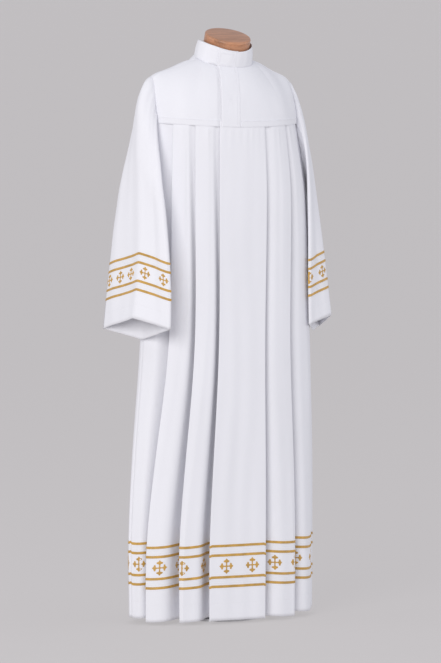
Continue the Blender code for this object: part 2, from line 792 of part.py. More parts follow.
make_skirt()
make_yoke()
for sleeve_side in ("right", "left"):
    cloth(f"sleeve_{sleeve_side}", sleeve_rows(sleeve_side), LINEN, closed=True)
make_form()
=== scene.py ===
"""Alb robe with a yoke, a stand collar, a pleated skirt and open sleeves, on a limbless dress form.
Metres, +Z up. The robe faces -Y and the wearer's right is -X."""

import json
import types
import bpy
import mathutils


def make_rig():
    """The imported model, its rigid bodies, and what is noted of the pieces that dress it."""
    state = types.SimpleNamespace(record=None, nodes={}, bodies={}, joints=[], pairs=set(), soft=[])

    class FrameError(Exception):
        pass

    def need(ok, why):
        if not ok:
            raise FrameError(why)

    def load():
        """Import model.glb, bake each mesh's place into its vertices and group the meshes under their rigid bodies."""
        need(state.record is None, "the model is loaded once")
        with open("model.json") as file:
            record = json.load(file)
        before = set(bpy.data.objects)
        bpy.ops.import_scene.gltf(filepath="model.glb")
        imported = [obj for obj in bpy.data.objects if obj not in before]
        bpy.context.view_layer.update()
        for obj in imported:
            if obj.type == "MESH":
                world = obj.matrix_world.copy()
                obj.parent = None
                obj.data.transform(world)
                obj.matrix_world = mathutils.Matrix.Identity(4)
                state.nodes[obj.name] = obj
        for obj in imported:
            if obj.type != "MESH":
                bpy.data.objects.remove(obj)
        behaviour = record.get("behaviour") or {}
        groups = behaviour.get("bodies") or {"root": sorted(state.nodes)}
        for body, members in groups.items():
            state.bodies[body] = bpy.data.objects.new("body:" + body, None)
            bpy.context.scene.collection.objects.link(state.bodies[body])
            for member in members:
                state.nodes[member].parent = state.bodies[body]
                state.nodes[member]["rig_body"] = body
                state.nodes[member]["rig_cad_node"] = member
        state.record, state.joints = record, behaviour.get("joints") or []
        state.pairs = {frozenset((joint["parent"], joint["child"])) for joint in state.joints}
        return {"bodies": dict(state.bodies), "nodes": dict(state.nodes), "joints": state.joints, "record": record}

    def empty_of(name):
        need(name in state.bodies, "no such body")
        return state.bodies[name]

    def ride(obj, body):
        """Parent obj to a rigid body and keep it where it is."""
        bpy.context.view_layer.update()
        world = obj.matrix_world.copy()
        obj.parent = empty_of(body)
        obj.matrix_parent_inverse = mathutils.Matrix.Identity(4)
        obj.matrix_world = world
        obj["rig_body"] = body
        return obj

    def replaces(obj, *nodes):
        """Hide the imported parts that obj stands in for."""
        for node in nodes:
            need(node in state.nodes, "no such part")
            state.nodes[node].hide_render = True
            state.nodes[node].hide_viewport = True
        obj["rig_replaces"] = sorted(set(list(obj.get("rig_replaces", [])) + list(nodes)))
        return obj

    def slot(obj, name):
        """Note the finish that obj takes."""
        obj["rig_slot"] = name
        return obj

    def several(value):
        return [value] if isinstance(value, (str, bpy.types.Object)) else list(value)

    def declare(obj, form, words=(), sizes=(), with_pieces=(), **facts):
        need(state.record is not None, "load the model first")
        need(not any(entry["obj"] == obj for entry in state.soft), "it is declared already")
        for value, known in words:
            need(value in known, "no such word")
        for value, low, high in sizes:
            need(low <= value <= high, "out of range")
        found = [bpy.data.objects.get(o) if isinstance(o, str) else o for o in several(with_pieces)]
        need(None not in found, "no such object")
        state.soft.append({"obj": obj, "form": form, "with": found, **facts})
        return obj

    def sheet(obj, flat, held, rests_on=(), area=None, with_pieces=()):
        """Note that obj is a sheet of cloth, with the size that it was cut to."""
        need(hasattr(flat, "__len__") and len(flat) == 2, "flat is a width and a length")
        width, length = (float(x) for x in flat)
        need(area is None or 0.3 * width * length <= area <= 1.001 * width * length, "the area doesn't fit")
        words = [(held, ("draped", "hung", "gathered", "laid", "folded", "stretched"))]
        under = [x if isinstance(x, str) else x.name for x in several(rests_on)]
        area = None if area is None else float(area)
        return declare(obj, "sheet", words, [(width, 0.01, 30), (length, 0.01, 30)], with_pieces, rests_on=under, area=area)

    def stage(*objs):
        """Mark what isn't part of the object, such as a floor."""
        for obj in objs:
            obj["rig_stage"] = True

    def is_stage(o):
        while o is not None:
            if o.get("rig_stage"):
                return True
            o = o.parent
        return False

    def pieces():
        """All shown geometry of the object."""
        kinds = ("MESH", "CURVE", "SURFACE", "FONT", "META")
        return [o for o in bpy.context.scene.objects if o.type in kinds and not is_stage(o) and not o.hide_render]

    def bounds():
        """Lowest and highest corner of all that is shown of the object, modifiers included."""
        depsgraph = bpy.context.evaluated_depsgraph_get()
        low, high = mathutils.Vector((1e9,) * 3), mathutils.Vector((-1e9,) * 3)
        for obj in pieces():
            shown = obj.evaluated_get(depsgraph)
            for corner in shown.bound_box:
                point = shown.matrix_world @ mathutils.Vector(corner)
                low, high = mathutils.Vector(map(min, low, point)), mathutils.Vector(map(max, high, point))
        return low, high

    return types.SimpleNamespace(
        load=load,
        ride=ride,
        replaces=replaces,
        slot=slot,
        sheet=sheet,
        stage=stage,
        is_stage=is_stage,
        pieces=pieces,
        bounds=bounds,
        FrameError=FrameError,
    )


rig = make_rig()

bl_info = {
    "name": "Alb robe on a dress form",
    "version": (1, 0, 0),
    "blender": (4, 5, 0),
    "location": "View3D > Sidebar > Alb robe",
    "description": "Builds the robe's cloth, its embroidery and stitching, the dress form and the stage",
    "category": "Add Mesh",
}

import bisect
import json
import math

import bmesh
import bpy
import numpy as np
from bpy.props import FloatProperty, FloatVectorProperty, PointerProperty
from mathutils import Vector

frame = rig.load()
SOLID_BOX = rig.bounds()

# ---- cloth ----
WALL = 0.0010
SEAM = 0.0003
LAYER_GAP = 0.0005
FOLD_RADIUS = 0.0009

# ---- skirt ----
HEM_Z = 0.007
HEM_LIFT = 0.006  # the hem rises this much from a fold edge to the bottom of a pleat
YOKE_Z = 1.284
YOKE_SEAM_RISE = 0.008  # the yoke seam climbs this much from the centre to the side
ARMHOLE_Z = 1.140
ARMHOLE_ANGLE = 76.4  # the side's angle at which the yoke seam meets the armhole
FRONT_EDGE = 0.004  # depth of the skirt's centre panel when it sags between its folds

# The skirt through its fold edges: half widths to the wearer's right and left, and depths.
SKIRT = (
    dict(z=0.006, right=0.264, left=0.266, front=0.127, back=0.128),
    dict(z=0.221, right=0.265, left=0.267, front=0.127, back=0.128),
    dict(z=0.431, right=0.253, left=0.267, front=0.126, back=0.126),
    dict(z=0.731, right=0.229, left=0.260, front=0.123, back=0.122),
    dict(z=1.100, right=0.220, left=0.249, front=0.121, back=0.118),
    dict(z=1.290, right=0.213, left=0.215, front=0.120, back=0.114),
)

# Fold edges of the knife pleats, in degrees from the centre toward the side, at four heights.
PLEAT_HEIGHTS = (0.006, 0.221, 0.731, 1.290)
PLEATS = dict(
    front_right=(
        dict(name="near_centre", hem=22.4, bands=22.0, middle=18.2, yoke=18.3),
        dict(name="between", hem=42.0, bands=41.6, middle=35.8, yoke=37.2),
        dict(name="near_side", hem=70.0, bands=68.0, middle=57.0, yoke=57.0),
    ),
    front_left=(
        dict(name="near_centre", hem=13.6, bands=13.8, middle=14.3, yoke=18.0),
        dict(name="between", hem=38.6, bands=38.4, middle=35.3, yoke=41.0),
        dict(name="near_side", hem=66.0, bands=64.0, middle=65.0, yoke=60.0),
    ),
    back_right=(
        dict(name="near_centre", hem=17.0, bands=17.0, middle=16.5, yoke=18.2),
        dict(name="between", hem=41.0, bands=40.5, middle=36.5, yoke=38.5),
        dict(name="near_side", hem=68.0, bands=66.0, middle=57.5, yoke=58.5),
    ),
    back_left=(
        dict(name="near_centre", hem=18.5, bands=18.2, middle=17.0, yoke=18.2),
        dict(name="between", hem=43.0, bands=42.0, middle=37.0, yoke=38.5),
        dict(name="near_side", hem=69.0, bands=67.0, middle=58.0, yoke=58.5),
    ),
)

# How much the hem of each panel rises toward the side, at its outer edge and in its pleat.
HEM_RISE = dict(
    front_right=((0.0115, 0.006), (0.0, 0.0), (0.0, 0.0)),
    front_left=((0.0115, 0.010), (0.009, 0.004), (0.0, 0.0)),
    back_right=((0.0115, 0.007), (0.004, 0.002), (0.0, 0.0)),
    back_left=((0.0115, 0.007), (0.004, 0.002), (0.0, 0.0)),
)

# How a pleat opens: the cloth tucked under its edge, and the angle at which it runs inward.
OPENING = (
    dict(z=0.006, tuck=0.058, angle=62.0, open=1.00),
    dict(z=0.221, tuck=0.056, angle=56.0, open=0.90),
    dict(z=0.431, tuck=0.052, angle=46.0, open=0.75),
    dict(z=0.731, tuck=0.047, angle=30.0, open=0.50),
    dict(z=1.000, tuck=0.041, angle=14.0, open=0.22),
    dict(z=1.200, tuck=0.034, angle=3.5, open=0.04),
    dict(z=1.300, tuck=0.031, angle=0.0, open=0.00),
)
UNDER_EDGE = 0.007  # at the yoke a panel is flat under the next edge from here on
FLAT_PAST_TUCK = 0.004  # and flat over its own tucked cloth to here past its end
FLAT_AT_HEM = 0.010
OPEN_REACH = 0.85  # at the hem a panel is at full depth this share of the way into the pleat
SINK_FROM = 1.38  # a panel starts to sink into its pleat at this share
SINK_OVER = 0.62  # and takes this much of a share to reach its full depth

# ---- yoke, shoulders and collar ----
SHOULDER = (
    dict(x=0.077, z=1.4590),
    dict(x=0.105, z=1.4515),
    dict(x=0.150, z=1.4325),
    dict(x=0.193, z=1.4150),
    dict(x=0.205, z=1.4090),
)
SHOULDER_END_Y = 0.005
NECK = dict(x=0.077, y=0.066, centre_y=-0.013, z=1.458, slope=0.30, dip=0.0)
COLLAR_TOP = dict(x=0.071, y=0.0655, centre_y=-0.024, z=1.5047, slope=0.188, dip=3.2)
COLLAR_EDGE = 39.5  # the collar's overlap ends this far to the wearer's right
COLLAR_OVERLAP = 42.0
COLLAR_STEP = 0.0024
NECK_SHARE = 0.48  # the share of each half yoke that lies under the neckline
NECK_SEAM_ANGLE = 40.0
PLACKET_SHARE = 0.205  # the left yoke runs this far past the centre, to the placket's edge
UNDER_PLACKET = 0.02  # the right yoke ends this far short of the centre, under the placket
LEAN = 0.034  # the shoulders slope to the wearer's left
LEAN_FROM = 1.20
LEAN_TO = 1.40

# ---- sleeves: the cuff's corners, x outward ----
CUFFS = dict(
    right=(
        dict(corner="crease", x=0.292, y=-0.058, z=0.796),
        dict(corner="front", x=0.238, y=-0.155, z=0.771),
        dict(corner="under", x=0.240, y=-0.010, z=0.737),
        dict(corner="back", x=0.300, y=0.088, z=0.762),
    ),
    left=(
        dict(corner="crease", x=0.307, y=-0.050, z=0.787),
        dict(corner="front", x=0.222, y=-0.080, z=0.766),
        dict(corner="under", x=0.300, y=0.030, z=0.742),
        dict(corner="back", x=0.356, y=0.092, z=0.750),
    ),
)
FRONT_QUARTER = 0.434  # the share of the armhole's front half that the first quarter takes
# How the sleeve leaves the armhole and reaches the cuff at each corner.
SLEEVE_REACH = dict(
    right=(
        dict(corner="crease", out=0.088, forward=0.010, down=0.045, cuff_in=0.062, cuff_up=0.30),
        dict(corner="front", out=0.030, forward=0.045, down=0.035, cuff_in=0.010, cuff_up=0.20),
        dict(corner="under", out=0.026, forward=0.000, down=0.035, cuff_in=0.004, cuff_up=0.16),
        dict(corner="back", out=0.055, forward=-0.045, down=0.035, cuff_in=0.022, cuff_up=0.20),
    ),
    left=(
        dict(corner="crease", out=0.044, forward=0.010, down=0.045, cuff_in=0.042, cuff_up=0.30),
        dict(corner="front", out=0.030, forward=0.045, down=0.035, cuff_in=0.006, cuff_up=0.20),
        dict(corner="under", out=0.030, forward=0.000, down=0.035, cuff_in=0.006, cuff_up=0.16),
        dict(corner="back", out=0.050, forward=-0.045, down=0.035, cuff_in=0.022, cuff_up=0.20),
    ),
)

# ---- dress form and stand ----
FORM = (
    dict(z=0.900, x=0.120, front=0.068, back=0.068, centre_y=0.0, point=1.0),
    dict(z=0.912, x=0.146, front=0.082, back=0.082, centre_y=0.0, point=1.0),
    dict(z=0.960, x=0.156, front=0.088, back=0.088, centre_y=0.0, point=1.0),
    dict(z=1.060, x=0.146, front=0.086, back=0.082, centre_y=0.0, point=1.0),
    dict(z=1.180, x=0.160, front=0.098, back=0.092, centre_y=0.0, point=1.0),
    dict(z=1.280, x=0.178, front=0.106, back=0.098, centre_y=0.0, point=1.0),
    dict(z=1.350, x=0.188, front=0.092, back=0.086, centre_y=0.0, point=1.2),
)
FORM_SHOULDER = (
    dict(x=0.186, front=0.056, back=0.054, centre_y=0.0023, point=1.9, drop=0.0),
    dict(x=0.160, front=0.048, back=0.048, centre_y=-0.0013, point=1.9, drop=0.0),
    dict(x=0.130, front=0.043, back=0.045, centre_y=-0.0055, point=1.9, drop=0.0),
    dict(x=0.100, front=0.038, back=0.044, centre_y=-0.0098, point=1.7, drop=0.006),
    dict(x=0.074, front=0.044, back=0.047, centre_y=-0.0125, point=1.2, drop=0.010),
)
FORM_GAP = WALL / 2 + 2 * LAYER_GAP
FORM_SIDES = 40
NECK_RADIUS = 0.060
NECK_TILT = 19.0
NECK_TOP = Vector((0.0032, -0.0335, 1.5210))
NECK_BLOCK = 0.042
NECK_FOOT = 0.003
POLE_RADIUS = 0.0125
BASE_RADIUS = 0.095
BASE_HEIGHT = 0.0075

# Turned parts from (radius, height) pairs: the wooden block with a groove round it, and the base.
BLOCK_PROFILE = (
    (0.0, 0.0),
    (NECK_RADIUS - 0.0015, 0.0),
    (NECK_RADIUS, 0.0015),
    (NECK_RADIUS, 0.0330),
    (NECK_RADIUS - 0.0009, 0.0338),
    (NECK_RADIUS - 0.0009, 0.0344),
    (NECK_RADIUS, 0.0352),
    (NECK_RADIUS, 0.0385),
    (NECK_RADIUS - 0.0008, 0.0404),
    (NECK_RADIUS - 0.0028, 0.0417),
    (NECK_RADIUS - 0.0050, 0.0420),
    (0.0, 0.0420),
)
BASE_PROFILE = (
    (0.0, 0.0),
    (BASE_RADIUS - 0.0008, 0.0),
    (BASE_RADIUS, 0.0008),
    (BASE_RADIUS, BASE_HEIGHT - 0.0022),
    (BASE_RADIUS - 0.0006, BASE_HEIGHT - 0.0008),
    (BASE_RADIUS - 0.0022, BASE_HEIGHT),
    (0.0, BASE_HEIGHT),
)
WIDE_SIDES = 96
POLE_SIDES = 48
POLE_TOP = 0.030  # the pole's last length under the form, which has its own row of points
POLE_BEVEL = 0.0005


def spline(rows, key, at, value):
    """The value column of a table where its key column is at, on a smooth curve."""
    keys = [row[key] for row in rows]
    values = [row[value] for row in rows]
    if keys[0] > keys[-1]:
        keys.reverse()
        values.reverse()
    at = min(max(at, keys[0]), keys[-1])
    i = min(max(bisect.bisect_right(keys, at) - 1, 0), len(keys) - 2)

    def slope(j):
        low = max(j - 1, 0)
        high = min(j + 1, len(keys) - 1)
        return (values[high] - values[low]) / (keys[high] - keys[low])

    span = keys[i + 1] - keys[i]
    t = (at - keys[i]) / span
    return (
        (2 * t**3 - 3 * t**2 + 1) * values[i]
        + (t**3 - 2 * t**2 + t) * span * slope(i)
        + (3 * t**2 - 2 * t**3) * values[i + 1]
        + (t**3 - t**2) * span * slope(i + 1)
    )


def smooth(t):
    t = min(max(t, 0.0), 1.0)
    return t * t * (3 - 2 * t)


def lean(point):
    """The robe and the form under it slope a little at the shoulders."""
    share = smooth((point.z - LEAN_FROM) / (LEAN_TO - LEAN_FROM))
    return point + Vector((0, 0, -LEAN * share * point.x))


def ring_point(angle, z):
    """A point of the skirt's outline; angle is 0 at centre front and grows to the left."""
    turn = math.radians(angle)
    width = spline(SKIRT, "z", z, "left" if math.sin(turn) > 0 else "right")
    depth = spline(SKIRT, "z", z, "front" if math.cos(turn) > 0 else "back")
    return Vector((width * math.sin(turn), -depth * math.cos(turn), z))


def ring_speed(angle, z):
    """Metres of outline for each degree."""
    return (ring_point(angle + 0.5, z) - ring_point(angle - 0.5, z)).length


def inside_ring(angle, depth, z):
    """A point at a depth under the outline."""
    along = ring_point(angle + 0.5, z) - ring_point(angle - 0.5, z)
    inward = Vector((-along.y, along.x, 0)).normalized()
    return ring_point(angle, z) + inward * depth


class Half:
    """One half of the front or the back, from its side seam to the centre."""

    def __init__(self, name):
        self.pleats = PLEATS[name][::-1]
        self.rises = HEM_RISE[name]
        self.back = name.startswith("back")
        self.sign = 1 if name.endswith("left") else -1

    def angle(self, from_centre):
        """Degrees from centre front for degrees from this half's own centre."""
        return self.sign * (180 - from_centre if self.back else from_centre)

    def edge(self, index, z):
        """Degrees from the centre to a pleat's fold edge; the side seam is before the first."""
        if index < 0:
            return 90.0
        row = self.pleats[index]
        places = [row[k] for k in ("hem", "bands", "middle", "yoke")]
        table = [dict(z=h, at=p) for h, p in zip(PLEAT_HEIGHTS, places)]
        return spline(table, "z", z, "at")

    def place(self, index, along, depth, z):
        """A point by its distance from a fold edge toward the centre, and its depth."""
        edge = self.edge(index, z)
        speed = ring_speed(self.angle(edge), z)
        return inside_ring(self.angle(edge - along / speed), depth, z)

    def pleat(self, z):
        tuck, angle = (spline(OPENING, "z", z, k) for k in ("tuck", "angle"))
        turn = math.radians(angle)
        middle = (
            FOLD_RADIUS + tuck * math.cos(turn) - 2 * FOLD_RADIUS * math.sin(turn),
            FOLD_RADIUS + tuck * math.sin(turn) + 2 * FOLD_RADIUS * math.cos(turn),
        )
        return angle, middle

    def outer_fold(self, index, share, z):
        """Round the fold edge, from the panel that shows to the cloth tucked under it."""
        angle = self.pleat(z)[0]
        turn = math.radians(90 + share * (180 - angle))
        r = FOLD_RADIUS
        return self.place(index, r + r * math.cos(turn), r - r * math.sin(turn), z)

    def inner_fold(self, index, share, z):
        """Round the bottom of the pleat, from the tucked cloth to the next panel."""
        angle, middle = self.pleat(z)
        turn = math.radians((90 - angle) - share * (180 - angle))
        r = FOLD_RADIUS
        return self.place(
            index, middle[0] + r * math.cos(turn), middle[1] - r * math.sin(turn), z
        )

    def tuck(self, index, share, z):
        """On the tucked cloth, from the fold edge inward."""
        angle, middle = self.pleat(z)
        turn = math.radians(angle)
        r = FOLD_RADIUS
        start = (r - r * math.sin(turn), r + r * math.cos(turn))
        end = (middle[0] + r * math.sin(turn), middle[1] - r * math.cos(turn))
        along_it = start[0] + (end[0] - start[0]) * share
        depth = start[1] + (end[1] - start[1]) * share
        return self.place(index, along_it, depth, z)

    def panel(self, index, share, z):
        """On the panel from the fold edge before a pleat to the bottom of that pleat.
        It lies flat past share 1, sinks until share 2, and is at full depth to share 3."""
        middle = self.pleat(z)[1]
        edge = self.edge(index, z)
        speed = ring_speed(self.angle(edge), z)
        before = self.edge(index - 1, z)
        open_share = spline(OPENING, "z", z, "open")
        flat = FLAT_AT_HEM
        if index > 0:
            before_speed = ring_speed(self.angle(before), z)
            before -= FOLD_RADIUS / before_speed
            tucked = spline(OPENING, "z", z, "tuck") + FLAT_PAST_TUCK
            flat += (tucked - FLAT_AT_HEM) * (1 - open_share)
        bottom = edge - middle[0] / speed
        full_at = edge + UNDER_EDGE / speed
        full_at += (bottom - full_at) * open_share * OPEN_REACH
        stops = (before, before - flat / speed, full_at, bottom)
        part = min(int(share), 2)
        at = stops[part] + (stops[part + 1] - stops[part]) * (share - part)
        depth = (middle[1] + FOLD_RADIUS) * smooth((share - SINK_FROM) / SINK_OVER)
        return inside_ring(self.angle(at), depth, z)


def armhole_top(angle):
    """Height of the skirt's top edge: the yoke seam, then the armhole's lower half."""
    aside = abs(angle) if abs(angle) <= 90 else 180 - abs(angle)
    seam = YOKE_Z + YOKE_SEAM_RISE * smooth(aside / ARMHOLE_ANGLE)
    if aside <= ARMHOLE_ANGLE:
        return seam
    down = (aside - ARMHOLE_ANGLE) / (90 - ARMHOLE_ANGLE)
    return seam - (seam - ARMHOLE_Z) * math.sqrt(1 - (1 - min(down, 1.0)) ** 2)


def angle_of(point, z):
    """Degrees from centre front of a point at a height."""
    width = spline(SKIRT, "z", z, "left" if point.x > 0 else "right")
    depth = spline(SKIRT, "z", z, "front" if point.y < 0 else "back")
    return math.degrees(math.atan2(point.x / width, -point.y / depth))


def neckline(share_angle):
    """The yoke's neck edge; the angle is measured from centre front."""
    turn = math.radians(share_angle)
    y = NECK["centre_y"] - NECK["y"] * math.cos(turn)
    z = NECK["z"] + NECK["slope"] * (y - NECK["centre_y"])
    return Vector((NECK["x"] * math.sin(turn), y, z))


def yoke_curve(share, back):
    """The two ends and two handles of a line down the yoke; share runs from centre to armhole."""
    aside = abs(share)
    side = 1 if share > 0 else -1
    if aside <= NECK_SHARE:
        part = aside / NECK_SHARE
        neck_angle = 90 * part
        seam_angle = NECK_SEAM_ANGLE * part
        top = neckline(side * (180 - neck_angle if back else neck_angle))
        fall = 1 - part
    else:
        part = (aside - NECK_SHARE) / (1 - NECK_SHARE)
        seam_angle = NECK_SEAM_ANGLE + (ARMHOLE_ANGLE - NECK_SEAM_ANGLE) * part
        x = SHOULDER[0]["x"] + (SHOULDER[-1]["x"] - SHOULDER[0]["x"]) * part
        y = NECK["centre_y"] + (SHOULDER_END_Y - NECK["centre_y"]) * part
        top = Vector((side * x, y, spline(SHOULDER, "x", x, "z")))
        fall = 0.0
    angle = side * (180 - seam_angle if back else seam_angle)
    height = armhole_top(angle)
    foot = ring_point(angle, height)
    drop = top.z - foot.z
    low = foot + Vector((0, 0, 0.45 * drop))
    shift = foot - top
    high = top + Vector((0.25 * shift.x * fall, 0.55 * shift.y, -0.24 * drop * fall))
    return foot, low, high, top


def yoke_point(share, height, back):
    """A point of the yoke; height is 0 at the skirt's seam and 1 at the neck or the shoulder."""
    foot, low, high, top = yoke_curve(share, back)
    t = height
    return (
        foot * (1 - t) ** 3
        + low * 3 * t * (1 - t) ** 2
        + high * 3 * t * t * (1 - t)
        + top * t**3
    )


def yoke_inward(share, height, back):
    """Unit normal of the yoke, into the robe."""
    step = 0.01
    low = yoke_point(share, max(height - step, 0.0), back)
    high = yoke_point(share, min(height + step, 1.0), back)
    one = yoke_point(share - step, height, back)
    two = yoke_point(share + step, height, back)
    normal = (two - one).cross(high - low).normalized()
    return normal if back else -normal


def between(first, last, count):
    """Evenly spaced numbers, both ends included."""
    return [first + (last - first) * i / (count - 1) for i in range(count)]


def armhole(side):
    """Points down the front of an armhole from the shoulder and up its back."""
    sign = 1 if side == "left" else -1
    halves = []
    for back in (False, True):
        points = [yoke_point(sign, h, back) for h in between(1.0, 0.0, 16)]
        for part in between(0.0, 90.0, 16)[1:]:
            aside = ARMHOLE_ANGLE + (90 - ARMHOLE_ANGLE) * (1 - math.cos(math.radians(part)))
            angle = sign * (180 - aside if back else aside)
            points.append(ring_point(angle, armhole_top(angle)))
        halves.append(points)
    return halves


def along(points, share):
    """The point at a share of a line's length."""
    steps = [(b - a).length for a, b in zip(points, points[1:])]
    left = share * sum(steps)
    for a, b, step in zip(points, points[1:], steps):
        if left <= step:
            return a.lerp(b, left / step)
        left -= step
    return points[-1]


def form_ring(size):
    """A level ring of the torso, drawn to a point at each side where the size's point is over 1."""
    ring = []
    for i in range(FORM_SIDES):
        turn = 2 * math.pi * i / FORM_SIDES
        depth = size["front"] if math.cos(turn) > 0 else size["back"]
        depth *= math.copysign(abs(math.cos(turn)) ** size["point"], math.cos(turn))
        ring.append(lean(Vector((size["x"] * math.sin(turn), size["centre_y"] - depth, size["z"]))))
    return ring


def neck_rings():
    """The form's neck, square to the wooden block on it."""
    tilt = math.radians(NECK_TILT)
    axis = Vector((0, -math.sin(tilt), math.cos(tilt)))
    across = Vector((0, math.cos(tilt), math.sin(tilt)))
    rings = []
    for down in (NECK_FOOT, 0.0):
        middle = NECK_TOP - axis * (NECK_BLOCK + SEAM + down)
        ring = []
        for i in range(FORM_SIDES):
            turn = 2 * math.pi * i / FORM_SIDES
            out = Vector((math.sin(turn), 0, 0)) - across * math.cos(turn)
            ring.append(middle + out * NECK_RADIUS)
        rings.append(ring)
    return rings


def form_rings():
    """The torso, then rings just under the yoke along the shoulder line, then the neck."""
    rings = [form_ring(size) for size in FORM]
    for row in FORM_SHOULDER:
        z = spline(SHOULDER, "x", row["x"], "z") - FORM_GAP - row["drop"]
        rings.append(form_ring(dict(row, z=z)))
    return rings + neck_rings()


# Each piece's flat cut in metres: width and length, and the area of all but the collar, a plain strip.
CUT = dict(
    front_right=(0.49, 1.29, 0.58),
    front_left=(0.76, 1.29, 0.93),
    back=(1.24, 1.29, 1.51),
    yoke_front_right=(0.25, 0.21, 0.040),
    yoke_front_left=(0.31, 0.20, 0.050),
    yoke_back=(0.50, 0.21, 0.088),
    collar=(0.51, 0.047),
    sleeve_right=(0.58, 0.65, 0.228),
    sleeve_left=(0.56, 0.64, 0.195),
)
HELD_BY = dict(front_right="yoke_front_right", front_left="yoke_front_left", back="yoke_back")
# Distances along the cloth from a skirt piece's right end, or round a cuff from its crease.
CROSSES = dict(
    front_right=(0.031, 0.1045, 0.1991, 0.2726, 0.3622, 0.4374),
    front_left=(0.0315, 0.105, 0.1816, 0.2551, 0.3624, 0.4359, 0.5566, 0.6301, 0.7036),
    sleeve_right=(0.022, 0.0857, -0.037, -0.0843, -0.132, -0.190, -0.248, -0.306),
    sleeve_left=(-0.021, -0.081, 0.039, 0.102, 0.165, 0.228, 0.291, 0.354),
)
CROSS_PITCH = 0.0735  # on the skirt's back, where the crosses follow each other evenly
FIRST_CROSS = 0.012
CROSS_ROOM = 0.020  # taken off the cloth's length before the crosses are counted

# Rows of stitching: distances from the placket's edge on the yoke, and on the skirt from the
# centre panel's left fold edge into the pleat.
PLACKET_LINES = (0.044, 0.050)
SKIRT_LINES = (0.051, 0.057)


# ---- fine grids: how each cloth piece is divided ----
HEM_ROWS = 26  # from the hem to just over the embroidered bands
BANDS_TOP = 0.24
SKIRT_ROWS = 50  # from there to the level where the rows start to follow the yoke's seam
SKIRT_LEVEL = 1.120
SEAM_ROWS = 18
PANEL_STEPS = (14, 10, 4)
FOLD_STEPS = 5
TUCK_STEPS = 7
CENTRE_STEPS = 30
SPLIT_SHARE = 0.97  # where in its tuck the cloth of the front's two pieces is divided
YOKE_ROWS = 56
COLLAR_ROWS = 14
COLLAR_COLUMNS = 190
SLEEVE_ROWS = 84
QUARTER_STEPS = 22

# ---- soft folds: how far they stand out, and where ----
SKIRT_DROP = 1.27  # from the top of the folds to the hem
SKIRT_FOLDS = 0.0006
SKIRT_FOLDS_GROW = 0.0042  # more than that at the hem
YOKE_PUCKERS = 0.0011  # where the yoke's seam gathers the skirt
PUCKER_PITCH = 0.021
HALF_WIDTH = 0.24  # of a plain oval like the skirt, which says where outward is
HALF_DEPTH = 0.122
OUTER_STAND = (0.0004, 0.0014)  # fold edges and flat panels stand out: at both ends, and more between
YOKE_FOLDS = 0.0034
YOKE_CROSS_FOLDS = 0.0009
PLACKET_GROOVE = 0.0020
SLEEVE_FOLDS = 0.0036
SLEEVE_RIPPLES = 0.0010
SLEEVE_DRAGS = 0.0016
ELBOW_CRUMPLES = 0.0014
SLEEVE_GATHERS = 0.0022
# Starting points of the waves, so that no two pieces fold alike.
SEEDS = dict(front_right=0.7, front_left=2.3, back=4.4, right=0.4, left=2.6)

# Embroidered bands: heights above the hem or the cuff edge, and the size of a cross.
HEM_BANDS = dict(lines=(0.0885, 0.1125, 0.1695, 0.1940), width=0.0066, cross=0.141, size=0.041)
CUFF_BANDS = dict(lines=(0.0750, 0.0975, 0.1450, 0.1680), width=0.0064, cross=0.1215, size=0.034)
RIBS = 4
RIB_LIFT = 0.0003
FOOT = 0.00005  # the foot of what is sewn on, over the cloth's skin

# ---- sewing ----
STITCH_PITCH = 1.35  # stitches follow each other at this many times their own length
CUFF_STITCHING = 0.038
SEAM_BAND = (0.0003, 0.0168)  # the yoke's turned edge, and its two rows of stitching
SEAM_LINES = (0.0030, 0.0148)
SEAM_THICK = 0.0015
BACK_LINE = 0.006  # the back yoke's row of stitching, under its top edge
# The shoulder's felled edge: distances under the yoke's top edge, and how far it stands out.
SHOULDER_BAND = ((0.0105, FOOT), (0.0097, 0.0009), (0.0020, 0.0009), (0.0012, FOOT))
SHOULDER_LINES = (0.0090, 0.0030)
SHOULDER_THICK = 0.0009
PLACKET_FROM = 0.001
PLACKET_STEPS = 60
PLACKET_THICK = 0.0011
LEFT_OF_CENTRE = 60  # the last outer column before this is the centre panel's left fold edge
SKIRT_LINES_FROM = 0.20  # above the embroidered bands
SKIRT_LINES_RISE = 1.06
SKIRT_LINE_STEPS = 150
COLLAR_LINE = 0.003  # rows of stitching this far from the collar's two edges
# The collar's tab: distances along it from its end, and how far it stands out.
TAB_THICK = 0.0012
TAB_ROWS = 15
TAB_ACROSS = ((0.0004, FOOT), (0.0012, TAB_THICK), (0.0475, TAB_THICK), (0.0485, FOOT))
BOX_FROM = 0.006  # the tab's stitched box starts this far from its end and its lower edge
BOX_TO = 0.044
BOX_UNDER = 0.008  # and ends this far under its top
BOX_STEPS = 12
BOX_PITCH = 1.2


def fine_half(half):
    """Columns of one half of a skirt piece, each with its place, its hem's rise and how freely it folds."""
    made = []
    for index in range(len(half.pleats)):
        shares = []
        for part, steps in enumerate(PANEL_STEPS):
            shares += [part + i / steps for i in range(steps)]
        outer, inner = half.rises[index]
        edge = half.rises[index + 1][0] if index + 1 < len(half.rises) else 0.0
        for share in shares:
            free = math.sin(math.pi * min(share / 1.8, 1.0)) ** 2
            rise = outer + (inner - outer) * smooth(share / 2)
            made.append(fine_column(half.panel, index, share, smooth(share - 1), free, rise))
        turns = [1 - i / (FOLD_STEPS - 1) for i in range(FOLD_STEPS)]
        for share in turns:
            made.append(fine_column(half.inner_fold, index, share, 1.0, 0.0, inner))
        for i in range(1, TUCK_STEPS):
            share = 1 - i / TUCK_STEPS
            made.append(fine_column(half.tuck, index, share, share, 0.0, edge + (inner - edge) * share))
        for share in turns:
            made.append(fine_column(half.outer_fold, index, share, 0.0, 0.0, edge))
    return made


def fine_column(make, index, share, lift, free, rise):
    return dict(at=lambda z: make(index, share, z), lift=lift, free=free, rise=rise, outer=lift == 0.0)


